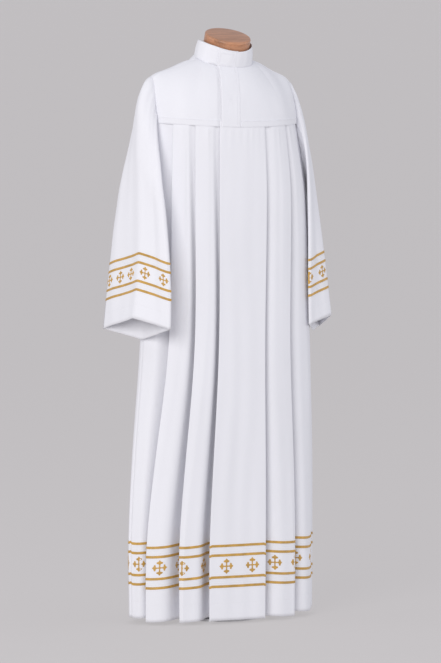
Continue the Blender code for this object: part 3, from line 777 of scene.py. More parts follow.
def fine_centre(right, left):
    """Columns of the centre panel, between the innermost fold edges of its two halves."""
    last = len(right.pleats) - 1

    def make(share):
        def at(z):
            a = angle_of(right.outer_fold(last, 0.0, z), z)
            b = angle_of(left.outer_fold(last, 0.0, z), z)
            if right.back:
                b -= 360
            sag = FRONT_EDGE * math.sin(math.pi * share) * spline(OPENING, "z", z, "open")
            return inside_ring(a + (b - a) * share, sag, z)

        return at

    made = []
    for share in [i / CENTRE_STEPS for i in range(1, CENTRE_STEPS)]:
        free = math.sin(math.pi * share) ** 0.7
        made.append(dict(at=make(share), lift=0.3, free=free, rise=0.0, outer=False))
    return made


def skirt_columns(piece):
    """Columns of a skirt piece in order, from the wearer's right to the left on the front."""
    halves = {name: Half(name) for name in PLEATS}
    if piece == "back":
        return (
            fine_half(halves["back_right"])
            + fine_centre(halves["back_right"], halves["back_left"])
            + fine_half(halves["back_left"])[::-1]
        )
    right = fine_half(halves["front_right"])
    behind = FOLD_STEPS + TUCK_STEPS - 1
    if piece == "front_right":
        return right[:-behind]
    last = len(halves["front_right"].pleats) - 1
    start = fine_column(halves["front_right"].tuck, last, SPLIT_SHARE, SPLIT_SHARE, 0.0, 0.0)
    centre = fine_centre(halves["front_right"], halves["front_left"])
    return [start] + right[-behind:] + centre + fine_half(halves["front_left"])[::-1]


def drape(free, run, height, seed):
    """How far soft vertical folds stand out from the skirt's panels, for arrays of places."""
    low = np.clip(1.0 - height / SKIRT_DROP, 0.0, 1.0)
    depth = SKIRT_FOLDS + SKIRT_FOLDS_GROW * low**0.8
    wander = 0.010 * np.sin(4.1 * height + seed) + 0.006 * np.sin(9.3 * height + 2.1 * seed)
    one = np.sin((run + wander) * 118.0 + 1.7 * seed)
    two = np.sin((run - 0.6 * wander) * 71.0 + 2.9 * seed + 1.2 * np.sin(3.0 * height))
    long = 0.5 + 0.3 * one + 0.2 * two
    swell = 0.5 + 0.5 * np.sin(5.3 * height + 31.0 * run + seed)
    pucker = np.abs(np.sin(run * 250.0 + 0.8 * np.sin(40.0 * run + seed)))
    near_yoke = np.exp(-np.clip(YOKE_Z - height, 0.0, 2.0) / 0.055)
    return free * (depth * long * (0.55 + 0.45 * swell) + YOKE_PUCKERS * pucker * near_yoke)


class Surface:
    """A cloth piece as a grid of points, rows upward from its lower edge."""

    def __init__(self, points, closed=False):
        self.points = np.array(points, dtype=float)
        self.closed = closed
        self.measure()

    def measure(self):
        """The normals, and the distance up the cloth to each row."""
        p = self.points
        across = np.gradient(p, axis=1)
        if self.closed:
            across[:, 0] = p[:, 1] - p[:, -2]
            across[:, -1] = across[:, 0]
        up = np.gradient(p, axis=0)
        normal = np.cross(across, up)
        size = np.linalg.norm(normal, axis=2, keepdims=True)
        self.normals = normal / np.maximum(size, 1e-12)
        steps = np.linalg.norm(np.diff(p, axis=0), axis=2)
        self.rise = np.vstack([np.zeros(p.shape[1]), np.cumsum(steps, axis=0)])

    def run_at(self, height, columns=None):
        """Distance along the cloth to each column, or each of some, at a height up from the lower edge."""
        if columns is None:
            columns = self.all_columns()
        line = np.array([self.at(c, height, 0.0) for c in columns])
        steps = np.linalg.norm(np.diff(line, axis=0), axis=1)
        return np.concatenate([[0.0], np.cumsum(steps)])

    def all_columns(self):
        return range(self.points.shape[1])

    def push(self, amount):
        """Moves the cloth outward."""
        self.points = self.points + self.normals * amount[..., None]
        self.measure()

    def at(self, column, height, lift):
        """A point by its column, a whole or part number, its height up the cloth and its lift."""
        last = self.points.shape[1] - 1
        if self.closed:
            column = column % last
        column = min(max(column, 0.0), last)
        one = min(int(column), last - 1)
        part = column - one
        point = np.zeros(3)
        for c, weight in ((one, 1 - part), (one + 1, part)):
            if weight <= 0.0:
                continue
            rise = self.rise[:, c]
            r = min(max(int(np.searchsorted(rise, height)) - 1, 0), len(rise) - 2)
            t = (height - rise[r]) / max(rise[r + 1] - rise[r], 1e-9)
            t = min(max(t, 0.0), 1.0)
            p = self.points[r, c] * (1 - t) + self.points[r + 1, c] * t
            n = self.normals[r, c] * (1 - t) + self.normals[r + 1, c] * t
            point = point + weight * (p + n * lift)
        return point


class Builder:
    """Gathers faces into one mesh."""

    def __init__(self):
        self.points = []
        self.faces = []

    def add(self, points, faces):
        base = len(self.points)
        self.points += [tuple(float(x) for x in p) for p in points]
        self.faces += [tuple(base + i for i in face) for face in faces]

    def mesh(self, name, material, smooth_angle=40):
        mesh = bpy.data.meshes.new(name)
        mesh.from_pydata(self.points, [], self.faces)
        mesh.materials.append(material)
        mesh.update()
        bm = bmesh.new()
        bm.from_mesh(mesh)
        bmesh.ops.recalc_face_normals(bm, faces=bm.faces)
        bm.to_mesh(mesh)
        bm.free()
        mesh.shade_smooth()
        mesh.set_sharp_from_angle(angle=math.radians(smooth_angle))
        made = bpy.data.objects.new(name, mesh)
        bpy.context.scene.collection.objects.link(made)
        return made

    def strip(self, surface, columns, low, high, lift, base, side=0.0006):
        """A flat ribbon laid along the cloth between two heights, with bevelled sides."""
        points = []
        for c in columns:
            points.append(surface.at(c, low, base))
            points.append(surface.at(c, low + side, lift))
            points.append(surface.at(c, high - side, lift))
            points.append(surface.at(c, high, base))
        self.tube(points)

    def tube(self, points):
        """A closed tube through rings of four points each."""
        count = len(points) // 4
        faces = []
        for i in range(count - 1):
            for k in range(4):
                m = (k + 1) % 4
                faces.append((i * 4 + k, i * 4 + m, (i + 1) * 4 + m, (i + 1) * 4 + k))
        faces.append(tuple(range(4)))
        faces.append(tuple((count - 1) * 4 + k for k in range(4)))
        self.add(points, faces)

    def stitches(self, path, pitch, length, width, lift):
        """Raised stitches along a path of (point, normal) pairs."""
        points = np.array([p for p, _ in path])
        normals = np.array([n for _, n in path])
        run = np.concatenate([[0.0], np.cumsum(np.linalg.norm(np.diff(points, axis=0), axis=1))])
        at = pitch / 2
        while at + length < run[-1]:
            ends = []
            for place in (at, at + length / 2, at + length):
                p = np.array([np.interp(place, run, points[:, k]) for k in range(3)])
                n = np.array([np.interp(place, run, normals[:, k]) for k in range(3)])
                ends.append((p, n / np.linalg.norm(n)))
            forward = ends[2][0] - ends[0][0]
            forward /= max(np.linalg.norm(forward), 1e-9)
            ring = []
            for (p, n), high in zip(ends, (0.25, 1.0, 0.25)):
                side = np.cross(forward, n) * width / 2
                top = p + n * lift * high
                ring += [p + side * 0.7, top + side * 0.3, top - side * 0.3, p - side * 0.7]
            self.tube(ring)
            at += pitch


# A cross ornament in quarters: half an arm's outline, as shares of the cross's size.
CROSS_ARM = (
    (0.046, 0.046),
    (0.037, 0.110),
    (0.042, 0.200),
    (0.072, 0.258),
    (0.140, 0.256),
    (0.197, 0.286),
    (0.208, 0.345),
    (0.142, 0.380),
    (0.086, 0.398),
    (0.052, 0.446),
    (0.000, 0.500),
)
ARM_HEART = 0.30  # the point of each arm that its faces meet in
# The cross's heights over the middle of the cloth: its foot is hidden inside the cloth.
CROSS_FOOT = 0.0001
CROSS_EDGE = 0.0009
CROSS_HEART = 0.0015
CROSS_MIDDLE = 0.0013
CROSS_BEVEL = 0.97


def cross_outline():
    """The whole outline, the four points its arms are filled from, and the points in each arm."""
    arm = list(CROSS_ARM) + [(-x, y) for x, y in CROSS_ARM[-2::-1]]
    outline = []
    hearts = []
    for quarter in range(4):
        turn = math.radians(90 * quarter)
        for x, y in arm:
            across = x * math.cos(turn) - y * math.sin(turn)
            up = x * math.sin(turn) + y * math.cos(turn)
            outline.append((across, up))
        hearts.append((-ARM_HEART * math.sin(turn), ARM_HEART * math.cos(turn)))
    return outline, hearts, len(arm)


def add_cross(build, surface, run, middle, height, size):
    """One embroidered cross laid on the cloth at a distance along it and a height up it."""
    outline, hearts, count = cross_outline()

    def place(x, y, lift):
        along_it = middle + x * size
        if surface.closed:
            along_it %= run[-1]
        column = np.interp(along_it, run, np.arange(len(run)))
        return surface.at(column, height + y * size, lift)

    total = len(outline)
    points = [place(x, y, CROSS_FOOT) for x, y in outline]
    points += [place(x * CROSS_BEVEL, y * CROSS_BEVEL, CROSS_EDGE) for x, y in outline]
    points += [place(x, y, CROSS_HEART) for x, y in hearts]
    points += [place(x, y, CROSS_FOOT) for x, y in hearts]
    points += [place(0, 0, CROSS_MIDDLE), place(0, 0, CROSS_FOOT)]
    faces = []
    for i in range(total):
        j = (i + 1) % total
        faces.append((i, j, total + j, total + i))
    top = 2 * total
    for quarter in range(4):
        first = quarter * count
        for i in range(count - 1):
            faces.append((total + first + i, total + first + i + 1, top + quarter))
            faces.append((first + i + 1, first + i, top + 4 + quarter))
        end = first + count - 1
        begin = ((quarter + 1) % 4) * count
        faces.append((total + end, total + begin, top + 8))
        faces.append((begin, end, top + 9))
        faces.append((total + end, top + 8, top + quarter))
        faces.append((top + 9, end, top + 4 + quarter))
        faces.append((top + 8, total + first, top + quarter))
        faces.append((first, top + 9, top + 4 + quarter))
    build.add(points, faces)


def outer_columns(columns):
    """The columns on the skirt's outline: the fold edges, and the flat part of each panel after one."""
    return [i for i, col in enumerate(columns) if col["outer"]]


def skirt_surface(piece):
    """A skirt piece from its hem up to the yoke's seam, with its pleats and soft folds."""
    columns = skirt_columns(piece)
    above = SKIRT_LEVEL - BANDS_TOP
    heights = [i / HEM_ROWS * BANDS_TOP / SKIRT_LEVEL for i in range(HEM_ROWS)]
    heights += [(BANDS_TOP + above * i / SKIRT_ROWS) / SKIRT_LEVEL for i in range(SKIRT_ROWS + 1)]
    upper = [1 - (1 - i / SEAM_ROWS) ** 1.5 for i in range(1, SEAM_ROWS + 1)]
    lines = []
    for col in columns:
        top = YOKE_Z
        for _ in range(6):
            top = (top + armhole_top(angle_of(col["at"](top), top))) / 2
        hem = HEM_Z + HEM_LIFT * col["lift"] + col["rise"]
        zs = [hem + (SKIRT_LEVEL - hem) * h for h in heights]
        zs += [SKIRT_LEVEL + (top - SKIRT_LEVEL) * h for h in upper]
        lines.append([lean(col["at"](z)) for z in zs])
    points = np.array([[list(p) for p in line] for line in lines]).transpose(1, 0, 2)
    surface = Surface(points)
    if np.mean(surface.normals[:, :, 1] * np.sign(points[:, :, 1])) < 0:
        surface = Surface(points[:, ::-1])
        columns = columns[::-1]
    free = np.array([c["free"] for c in columns])
    run = surface.run_at(0.4)
    amount = drape(free[None, :], run[None, :], surface.points[:, :, 2], SEEDS[piece])
    below = surface.rise[-1][None, :] - surface.rise
    fade = np.clip(below / 0.014, 0, 1)
    # The seam draws the cloth into short puckers just below the yoke.
    pucker = np.sin(run * 2 * math.pi / PUCKER_PITCH + 1.7 * np.sin(run * 31.0)) * (free > 0.3)
    amount = amount + YOKE_PUCKERS * pucker[None, :] * np.exp(-below / 0.030)
    surface.push(amount * fade)
    # What lies on the outline stands out a little, away from the robe's middle.
    outer = outer_columns(columns)
    crisp = np.array([max(math.exp(-abs(at - run[j]) / 0.009) for j in outer) for at in run])
    height = surface.points[:, :, 2]
    low, more = OUTER_STAND
    stand = low + more * np.sin(math.pi * np.clip(height / SKIRT_DROP, 0, 1)) ** 0.5
    out = surface.points * np.array([1 / HALF_WIDTH**2, 1 / HALF_DEPTH**2, 0.0])
    out = out / np.linalg.norm(out, axis=2, keepdims=True)
    surface.points = surface.points + out * (stand * crisp[None, :] * fade)[..., None]
    # The last row turns in under the yoke.
    under = surface.points[-1] - surface.normals[-1] * 0.0011 + np.array([0, 0, 0.0035])
    surface.points = np.concatenate([surface.points, under[None]])
    surface.measure()
    surface.columns = columns
    return surface


def yoke_surface(piece):
    """A piece of the yoke from the skirt's seam up to the neck and the shoulder."""
    back = piece == "yoke_back"
    if back:
        shares = between(-1.0, 1.0, 110)
    elif piece == "yoke_front_right":
        shares = between(-1.0, -UNDER_PLACKET, 60)
    else:
        shares = between(-PLACKET_SHARE, 1.0, 72)
    rows = []
    levels = [1 - (1 - h) ** 1.15 for h in between(0.0, 1.0, YOKE_ROWS)]
    for height in levels:
        row = []
        for share in shares:
            point = yoke_point(share, height, back)
            if piece == "yoke_front_right":
                dip = smooth((share + PLACKET_SHARE + 0.04) / 0.03)
                point += yoke_inward(share, height, back) * (WALL + 1.3 * LAYER_GAP) * dip
            if height == levels[-1]:
                point.y += 0.5 * SEAM * (1 if back else -1)
            row.append(list(lean(point)))
        rows.append(row)
    surface = Surface(rows)
    if np.mean(surface.normals[:, :, 1] * np.sign(surface.points[:, :, 1])) < 0:
        surface = Surface(np.array(rows)[:, ::-1])
        shares = shares[::-1]
    p = surface.points
    x = p[:, :, 0]
    z = p[:, :, 2]
    share = np.array(shares)[None, :]
    level = np.array(levels)[:, None]
    edge = np.clip(level * 8, 0, 1) * np.clip((1 - level) * 8, 0, 1)
    edge = edge * np.clip((1 - np.abs(share)) * 12, 0, 1)
    if piece == "yoke_front_left":
        edge = edge * np.clip((share + PLACKET_SHARE) * 14, 0, 1)
    if piece == "yoke_front_right":
        edge = edge * np.clip((-PLACKET_SHARE - 0.05 - share) * 14, 0, 1)
    side = np.sign(x)
    # Soft folds fall from the shoulder toward the armhole, and across the chest.
    slant = np.abs(x) * 0.9 + (z - 1.29) * 0.55
    fall = 0.5 + 0.5 * np.sin(slant * 92.0 + 0.8 * side + 2.0 * np.sin(21.0 * z))
    cross = 0.5 + 0.5 * np.sin((z - YOKE_Z) * 63.0 + 9.0 * np.abs(x) + side)
    shape = np.clip((np.abs(x) - 0.07) / 0.09, 0, 1)
    amount = edge * (YOKE_FOLDS * fall * shape + YOKE_CROSS_FOLDS * cross)
    if piece == "yoke_front_right":
        # A shallow groove beside the placket, fading out under the collar.
        groove = np.exp(-(((share + PLACKET_SHARE + 0.014) / 0.013) ** 2))
        amount = amount - PLACKET_GROOVE * groove * np.clip((0.86 - level) * 6, 0, 1)
    surface.push(amount)
    surface.shares = shares
    return surface


def collar_surface():
    """The stand collar from its overlapping end, once round the neck and on under the overlap."""
    rows = []
    turns = between(-COLLAR_EDGE, 360 - COLLAR_EDGE + COLLAR_OVERLAP, COLLAR_COLUMNS)
    for height in between(0.0, 1.0, COLLAR_ROWS):
        size = {k: NECK[k] + (COLLAR_TOP[k] - NECK[k]) * height for k in NECK}
        row = []
        for turn in turns:
            under = smooth((turn - (350 - COLLAR_EDGE - 14)) / 14)
            narrow = COLLAR_STEP * under
            angle = math.radians(turn)
            bow = 0.0012 * math.sin(math.pi * height) * (1 - under)
            ripple = 0.0004 * math.sin(turn * 0.31) * math.sin(math.pi * height) * (1 - under)
            y = size["centre_y"] - (size["y"] - narrow + bow + ripple) * math.cos(angle)
            z = size["z"] + size["slope"] * (y - size["centre_y"])
            z -= size["dip"] * (y - size["centre_y"]) ** 2
            x = (size["x"] - narrow + bow + ripple) * math.sin(angle)
            # The lower edge reaches down over the step beside the placket.
            reach = 0.0
            if height == 0:
                reach = -0.0016 - 0.0030 * math.exp(-(((turn - 309) / 14) ** 2))
            row.append(list(lean(Vector((x, y, z + reach)))))
        rows.append(row)
    return Surface(rows)


def sleeve_surface(side):
    """The sleeve from its cuff up to the armhole, with its pressed edges and soft folds."""
    sign = 1 if side == "left" else -1
    front, back = armhole(side)
    corners = [Vector((sign * c["x"], c["y"], c["z"])) for c in CUFFS[side]]
    lines = []
    for quarter in range(4):
        for step in range(QUARTER_STEPS):
            share = step / QUARTER_STEPS
            half = front if quarter < 2 else back
            if quarter < 2:
                stops = (0.0, FRONT_QUARTER, 1.0)
                at = stops[quarter] + (stops[quarter + 1] - stops[quarter]) * share
            else:
                stops = (1.0, 1 - FRONT_QUARTER, 0.0)
                at = stops[quarter - 2] + (stops[quarter - 1] - stops[quarter - 2]) * share
            cuff = corners[quarter].lerp(corners[(quarter + 1) % 4], share)
            lines.append((along(half, at), cuff, quarter, share))
    rows = []
    for t in between(1.0, 0.0, SLEEVE_ROWS):
        row = []
        for start, end, quarter, share in lines:
            one = SLEEVE_REACH[side][quarter]
            two = SLEEVE_REACH[side][(quarter + 1) % 4]
            ease = smooth(share)
            reach = {k: one[k] + (two[k] - one[k]) * ease for k in one if k != "corner"}
            first = start + Vector((sign * 0.0003, 0, 0))
            leave = first + Vector((sign * reach["out"], -reach["forward"], -reach["down"]))
            arrive = end + Vector((-sign * reach["cuff_in"], 0, reach["cuff_up"]))
            point = (
                first * (1 - t) ** 3
                + leave * 3 * t * (1 - t) ** 2
                + arrive * 3 * t * t * (1 - t)
                + end * t**3
            )
            row.append(list(lean(point)))
        rows.append(row + [row[0]])
    rows = np.array(rows)
    if side == "right":
        rows = rows[:, ::-1]
    surface = Surface(rows, closed=True)
    middle = surface.points[:, :-1].mean(axis=1, keepdims=True)
    outward = ((surface.points - middle) * surface.normals).sum()
    if outward < 0:
        surface = Surface(rows[:, ::-1], closed=True)
    soften_ring(surface)
    fold_sleeve(surface, side)
    head = surface.points[-1]
    middle = head[:-1].mean(axis=0)
    # The last row turns in behind the armhole's seam.
    under = head + (middle - head) * 0.035 - np.array([sign * 0.0045, 0, 0])
    surface.points = np.concatenate([surface.points, under[None]])
    surface.measure()
    return surface


def soften_ring(surface):
    """Rounds the pressed corners a little, less near the cuff."""
    p = surface.points[:, :-1].copy()
    count = p.shape[0]
    for _ in range(3):
        near = (np.roll(p, 1, axis=1) + np.roll(p, -1, axis=1)) / 2
        level = np.linspace(0, 1, count)[:, None, None]
        weight = (0.10 + 0.65 * level) * np.clip((1 - level) * 7, 0, 1)
        p = p * (1 - weight) + near * weight
    surface.points = np.concatenate([p, p[:, :1]], axis=1)
    surface.measure()


def fold_sleeve(surface, side):
    """Long soft folds, deepest at mid length and still clear at the cuff, and crumples at the elbow."""
    seed = SEEDS[side]
    rows, columns = surface.points.shape[:2]
    v = np.linspace(0, 1, rows)[:, None]
    u = np.linspace(0, 1, columns)[None, :]
    turn = 2 * math.pi * u
    long = np.sin(5 * turn + seed + 1.1 * np.sin(3.0 * v + seed)) * 0.5 + 0.5
    fine = np.sin(11 * turn + 2.0 * seed + 1.5 * np.sin(5.0 * v)) * 0.5 + 0.5
    drag = np.sin(3 * turn + 9.0 * v + seed) * 0.5 + 0.5
    elbow = np.exp(-((v - 0.55) ** 2) / 0.03)
    crumple = elbow * (np.sin(26.0 * v + 2 * np.sin(turn) + seed) * 0.5 + 0.5)
    amount = SLEEVE_FOLDS * long * (0.4 + 0.6 * np.sin(math.pi * np.clip(v + 0.15, 0, 1)))
    amount = amount + SLEEVE_RIPPLES * fine + SLEEVE_DRAGS * drag * np.sin(math.pi * v)
    amount = amount + ELBOW_CRUMPLES * crumple
    gathers = (np.sin(21 * turn + seed + 0.8 * np.sin(4.0 * v)) * 0.5 + 0.5) * np.exp(-(1 - v) / 0.22)
    amount = amount * (1.0 if side == "right" else 0.6) + SLEEVE_GATHERS * gathers
    surface.push(amount * np.clip((1 - v) * 22, 0, 1))


SURFACES = {}


def cloth_object(name, surface, wall, piece):
    """A piece of cloth as a thin shell with closed edges; its surface is kept for the sewing."""
    SURFACES[piece] = surface
    rows, columns = surface.points.shape[:2]
    outer = surface.points + surface.normals * wall / 2
    inner = surface.points - surface.normals * wall / 2
    closed = surface.closed
    if closed:
        columns -= 1
        outer = outer[:, :-1]
        inner = inner[:, :-1]
    points = np.concatenate([outer.reshape(-1, 3), inner.reshape(-1, 3)])
    base = rows * columns
    faces = []
    wide = columns if closed else columns - 1
    for r in range(rows - 1):
        for c in range(wide):
            d = (c + 1) % columns
            low = r * columns
            high = low + columns
            faces.append((low + c, low + d, high + d, high + c))
            faces.append((base + high + c, base + high + d, base + low + d, base + low + c))
    for c in range(wide):
        d = (c + 1) % columns
        faces.append((d, c, base + c, base + d))
        top = (rows - 1) * columns
        faces.append((top + c, top + d, base + top + d, base + top + c))
    if not closed:
        for r in range(rows - 1):
            low = r * columns
            high = low + columns
            faces.append((low, high, base + high, base + low))
            low += columns - 1
            high += columns - 1
            faces.append((high, low, base + low, base + high))
    mesh = bpy.data.meshes.new(name)
    mesh.from_pydata(points.tolist(), [], faces)
    mesh.update()
    mesh.materials.append(finish("white_cloth"))
    mesh.shade_smooth()
    made = bpy.data.objects.new(name, mesh)
    bpy.context.scene.collection.objects.link(made)
    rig.replaces(made, piece)
    finish_piece(made, "cloth")
    return made


def finish_piece(made, slot):
    """The piece rides on the part's one body, and its slot says what it is made of."""
    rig.ride(made, "root")
    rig.slot(made, slot)


# ---- finishes ----
def new_finish(name, roughness, sheen=0.0, sheen_roughness=0.5):
    """A material, its node tree and its shader."""
    made = bpy.data.materials.new(name)
    made.use_nodes = True
    shader = made.node_tree.nodes["Principled BSDF"]
    shader.inputs["Roughness"].default_value = roughness
    shader.inputs["Metallic"].default_value = 0.0
    shader.inputs["Sheen Weight"].default_value = sheen
    shader.inputs["Sheen Roughness"].default_value = sheen_roughness
    return made, made.node_tree, shader


def object_place(tree):
    return tree.nodes.new("ShaderNodeTexCoord").outputs["Object"]


def stretch(tree, place, scale):
    mapping = tree.nodes.new("ShaderNodeMapping")
    mapping.inputs["Scale"].default_value = scale
    tree.links.new(place, mapping.inputs["Vector"])
    return mapping.outputs["Vector"]


def noise(tree, place, scale, detail=2.0, roughness=0.5):
    made = tree.nodes.new("ShaderNodeTexNoise")
    made.inputs["Scale"].default_value = scale
    made.inputs["Detail"].default_value = detail
    made.inputs["Roughness"].default_value = roughness
    tree.links.new(place, made.inputs["Vector"])
    return made.outputs["Fac"]


def ramp(tree, value, colours):
    made = tree.nodes.new("ShaderNodeValToRGB")
    tree.links.new(value, made.inputs["Fac"])
    points = made.color_ramp.elements
    while len(points) < len(colours):
        points.new(0.5)
    for point, (at, colour) in zip(points, colours):
        point.position = at
        point.color = (*colour, 1.0)
    return made.outputs["Color"]


def bump(tree, shader, value, strength, distance, under=None):
    made = tree.nodes.new("ShaderNodeBump")
    made.inputs["Strength"].default_value = strength
    made.inputs["Distance"].default_value = distance
    tree.links.new(value, made.inputs["Height"])
    if under is not None:
        tree.links.new(under, made.inputs["Normal"])
    tree.links.new(made.outputs["Normal"], shader.inputs["Normal"])
    return made.outputs["Normal"]


def tint(colour, by):
    return tuple(min(max(c * by, 0.0), 1.0) for c in colour)


def white_cloth(colour):
    """Plain weave: fine threads both ways, uneven yarns and very soft rumples."""
    made, tree, shader = new_finish("white_cloth", 0.82, sheen=0.12, sheen_roughness=0.45)
    place = object_place(tree)
    shade = noise(tree, stretch(tree, place, (1, 1, 0.4)), 7.0, 3.0)
    tone = ramp(tree, shade, ((0.25, tint(colour, 0.965)), (0.75, tint(colour, 1.015))))
    tree.links.new(tone, shader.inputs["Base Color"])
    rumple = noise(tree, stretch(tree, place, (1, 1, 0.55)), 22.0, 3.0, 0.55)
    soft = bump(tree, shader, rumple, 0.22, 0.004)
    warp = noise(tree, stretch(tree, place, (1500, 1500, 90)), 1.0, 1.0)
    weft = noise(tree, stretch(tree, place, (110, 110, 1500)), 1.0, 1.0)
    weave = tree.nodes.new("ShaderNodeMath")
    weave.operation = "ADD"
    tree.links.new(warp, weave.inputs[0])
    tree.links.new(weft, weave.inputs[1])
    bump(tree, shader, weave.outputs["Value"], 0.10, 0.0004, soft)
    return made


def gold_thread(colour):
    """Satin stitch: close parallel threads with a silky gleam."""
    made, tree, shader = new_finish("gold_thread", 0.42, sheen=0.25, sheen_roughness=0.3)
    place = object_place(tree)
    shade = noise(tree, place, 60.0, 2.0)
    tone = ramp(tree, shade, ((0.25, tint(colour, 0.78)), (0.55, colour), (0.8, tint(colour, 1.18))))
    tree.links.new(tone, shader.inputs["Base Color"])
    threads = noise(tree, stretch(tree, place, (700, 700, 2400)), 1.0, 1.0)
    bump(tree, shader, threads, 0.35, 0.0006)
    shader.inputs["Specular IOR Level"].default_value = 0.6
    return made


def white_thread(colour):
    """Sewing thread, a little glossier than the cloth, with painted shade in the low places of its relief."""
    made, tree, shader = new_finish("white_thread", 0.6, sheen=0.1)
    place = object_place(tree)
    twist_relief_and_shade = noise(tree, stretch(tree, place, (2600, 2600, 2600)), 1.0, 1.0)
    # The noise that raises the thread's bump also darkens its lower places: painted shade in the hollows of the twist.
    tone = ramp(tree, twist_relief_and_shade, ((0.2, tint(colour, 0.86)), (0.8, tint(colour, 1.0))))
    tree.links.new(tone, shader.inputs["Base Color"])
    bump(tree, shader, twist_relief_and_shade, 0.3, 0.0004)
    return made


def form_jersey(colour):
    """Fine knit: columns of small stitches, slightly mottled."""
    made, tree, shader = new_finish("form_jersey", 0.88, sheen=0.2)
    place = object_place(tree)
    mottle = noise(tree, place, 40.0, 3.0)
    tone = ramp(tree, mottle, ((0.3, tint(colour, 0.93)), (0.7, tint(colour, 1.03))))
    tree.links.new(tone, shader.inputs["Base Color"])
    knit = noise(tree, stretch(tree, place, (900, 900, 600)), 1.0, 1.0)
    bump(tree, shader, knit, 0.3, 0.0006)
    return made


def turned_wood(colour):
    """Beech under a satin varnish: long grain, growth rings and small flecks."""
    made, tree, shader = new_finish("turned_wood", 0.38)
    place = object_place(tree)
    bend = noise(tree, stretch(tree, place, (9, 60, 60)), 1.0, 3.0)
    grain = noise(tree, stretch(tree, place, (30, 420, 420)), 1.0, 4.0, 0.6)
    both = tree.nodes.new("ShaderNodeMath")
    both.operation = "MULTIPLY_ADD"
    both.inputs[1].default_value = 0.5
    tree.links.new(grain, both.inputs[0])
    half = tree.nodes.new("ShaderNodeMath")
    half.operation = "MULTIPLY"
    half.inputs[1].default_value = 0.5
    tree.links.new(bend, half.inputs[0])
    tree.links.new(half.outputs["Value"], both.inputs[2])
    tone = ramp(
        tree,
        both.outputs["Value"],
        ((0.34, tint(colour, 0.58)), (0.50, colour), (0.66, tint(colour, 1.30))),
    )
    tree.links.new(tone, shader.inputs["Base Color"])
    bump(tree, shader, grain, 0.15, 0.0006)
    shader.inputs["Coat Weight"].default_value = 0.25
    shader.inputs["Coat Roughness"].default_value = 0.25
    return made


def painted_steel(colour):
    """Smooth stoved paint with faint orange peel and a few rubbed places."""
    made, tree, shader = new_finish("painted_steel", 0.36)
    place = object_place(tree)
    wear = noise(tree, place, 90.0, 4.0, 0.6)
    tone = ramp(tree, wear, ((0.3, tint(colour, 0.93)), (0.7, colour)))
    tree.links.new(tone, shader.inputs["Base Color"])
    peel = noise(tree, place, 900.0, 1.0)
    bump(tree, shader, peel, 0.08, 0.0005)
    return made


def studio_paper(colour):
    """Pale paper that glows a little, so that it stays even out to the edges of the frame."""
    made, _, shader = new_finish("studio_paper", 0.95)
    shader.inputs["Base Color"].default_value = (*tint(colour, 0.28), 1.0)
    shader.inputs["Specular IOR Level"].default_value = 0.1
    shader.inputs["Emission Color"].default_value = (*colour, 1.0)
    shader.inputs["Emission Strength"].default_value = 0.80
    return made


FINISHES = {}


def finish(name):
    """The finish of that name, made once from the colours in the panel."""
    if name not in FINISHES:
        colours = bpy.context.scene.alb_colours
        makers = {
            "white_cloth": (white_cloth, colours.cloth),
            "gold_thread": (gold_thread, colours.gold),
            "white_thread": (white_thread, colours.thread),
            "form_jersey": (form_jersey, colours.jersey),
            "turned_wood": (turned_wood, colours.wood),
            "painted_steel": (painted_steel, colours.steel),
            "studio_paper": (studio_paper, colours.paper),
        }
        make, colour = makers[name]
        FINISHES[name] = make(tuple(colour))
    return FINISHES[name]


# ---- what a user may change ----
def colour_property(name, words, default):
    return FloatVectorProperty(
        name=name, description=words, subtype="COLOR", size=3, min=0.0, max=1.0, default=default
    )


def length_property(name, words, default, least, most):
    return FloatProperty(
        name=name, description=words, subtype="DISTANCE", unit="LENGTH",
        default=default, min=least, max=most,
    )


class AlbColours(bpy.types.PropertyGroup):
    """Colours of the robe, its embroidery, the dress form and the stage."""

    cloth: colour_property("Cloth", "The robe's white cloth", (0.835, 0.838, 0.880))
    gold: colour_property("Gold thread", "Embroidered bands and crosses", (0.57, 0.325, 0.062))
    thread: colour_property("Sewing thread", "Stitching and woven ribs", (0.87, 0.87, 0.90))
    jersey: colour_property("Jersey", "Cover of the dress form", (0.52, 0.50, 0.48))
    wood: colour_property("Wood", "Block on the form's neck", (0.50, 0.24, 0.13))
    steel: colour_property("Steel", "Pole and base", (0.72, 0.72, 0.73))
    paper: colour_property("Studio paper", "Floor and backdrop", (0.545, 0.525, 0.532))


class AlbSizes(bpy.types.PropertyGroup):
    """Sizes of the cloth, the thread and the embroidery."""

    wall: length_property("Cloth", "Thickness of the cloth", 0.0007, 0.0003, 0.001)
    cord: length_property("Gold line", "How far a gold line stands off the cloth", 0.0011, 0.0003, 0.003)
    rib: length_property("Rib", "Width of a woven rib between two gold lines", 0.0024, 0.0005, 0.004)
    stitch: length_property("Stitch", "Length of a stitch", 0.0026, 0.001, 0.006)
    hem: length_property("Hem depth", "Height of the hem's stitching", 0.045, 0.02, 0.08)


SKIRT_PIECES = ("front_right", "front_left", "back")
YOKE_PIECES = ("yoke_front_right", "yoke_front_left", "yoke_back")
SLEEVE_PIECES = ("sleeve_right", "sleeve_left")


class ALB_OT_skirt(bpy.types.Operator):
    """Build the three pleated pieces of the skirt"""

    bl_idname = "alb.skirt"
    bl_label = "Skirt"

    def execute(self, context):
        for piece in SKIRT_PIECES:
            wall = context.scene.alb_sizes.wall
            made = cloth_object("skirt_" + piece, skirt_surface(piece), wall, piece)
            width, length, area = CUT[piece]
            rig.sheet(made, flat=(width, length), held="gathered", rests_on=[HELD_BY[piece]], area=area)
        return {"FINISHED"}


class ALB_OT_yoke(bpy.types.Operator):
    """Build the two front pieces and the back of the yoke"""

    bl_idname = "alb.yoke"
    bl_label = "Yoke"

    def execute(self, context):
        for piece in YOKE_PIECES:
            wall = context.scene.alb_sizes.wall
            made = cloth_object("cloth_" + piece, yoke_surface(piece), wall, piece)
            width, length, area = CUT[piece]
            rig.sheet(made, flat=(width, length), held="draped", rests_on=["dress_form"], area=area)
        return {"FINISHED"}


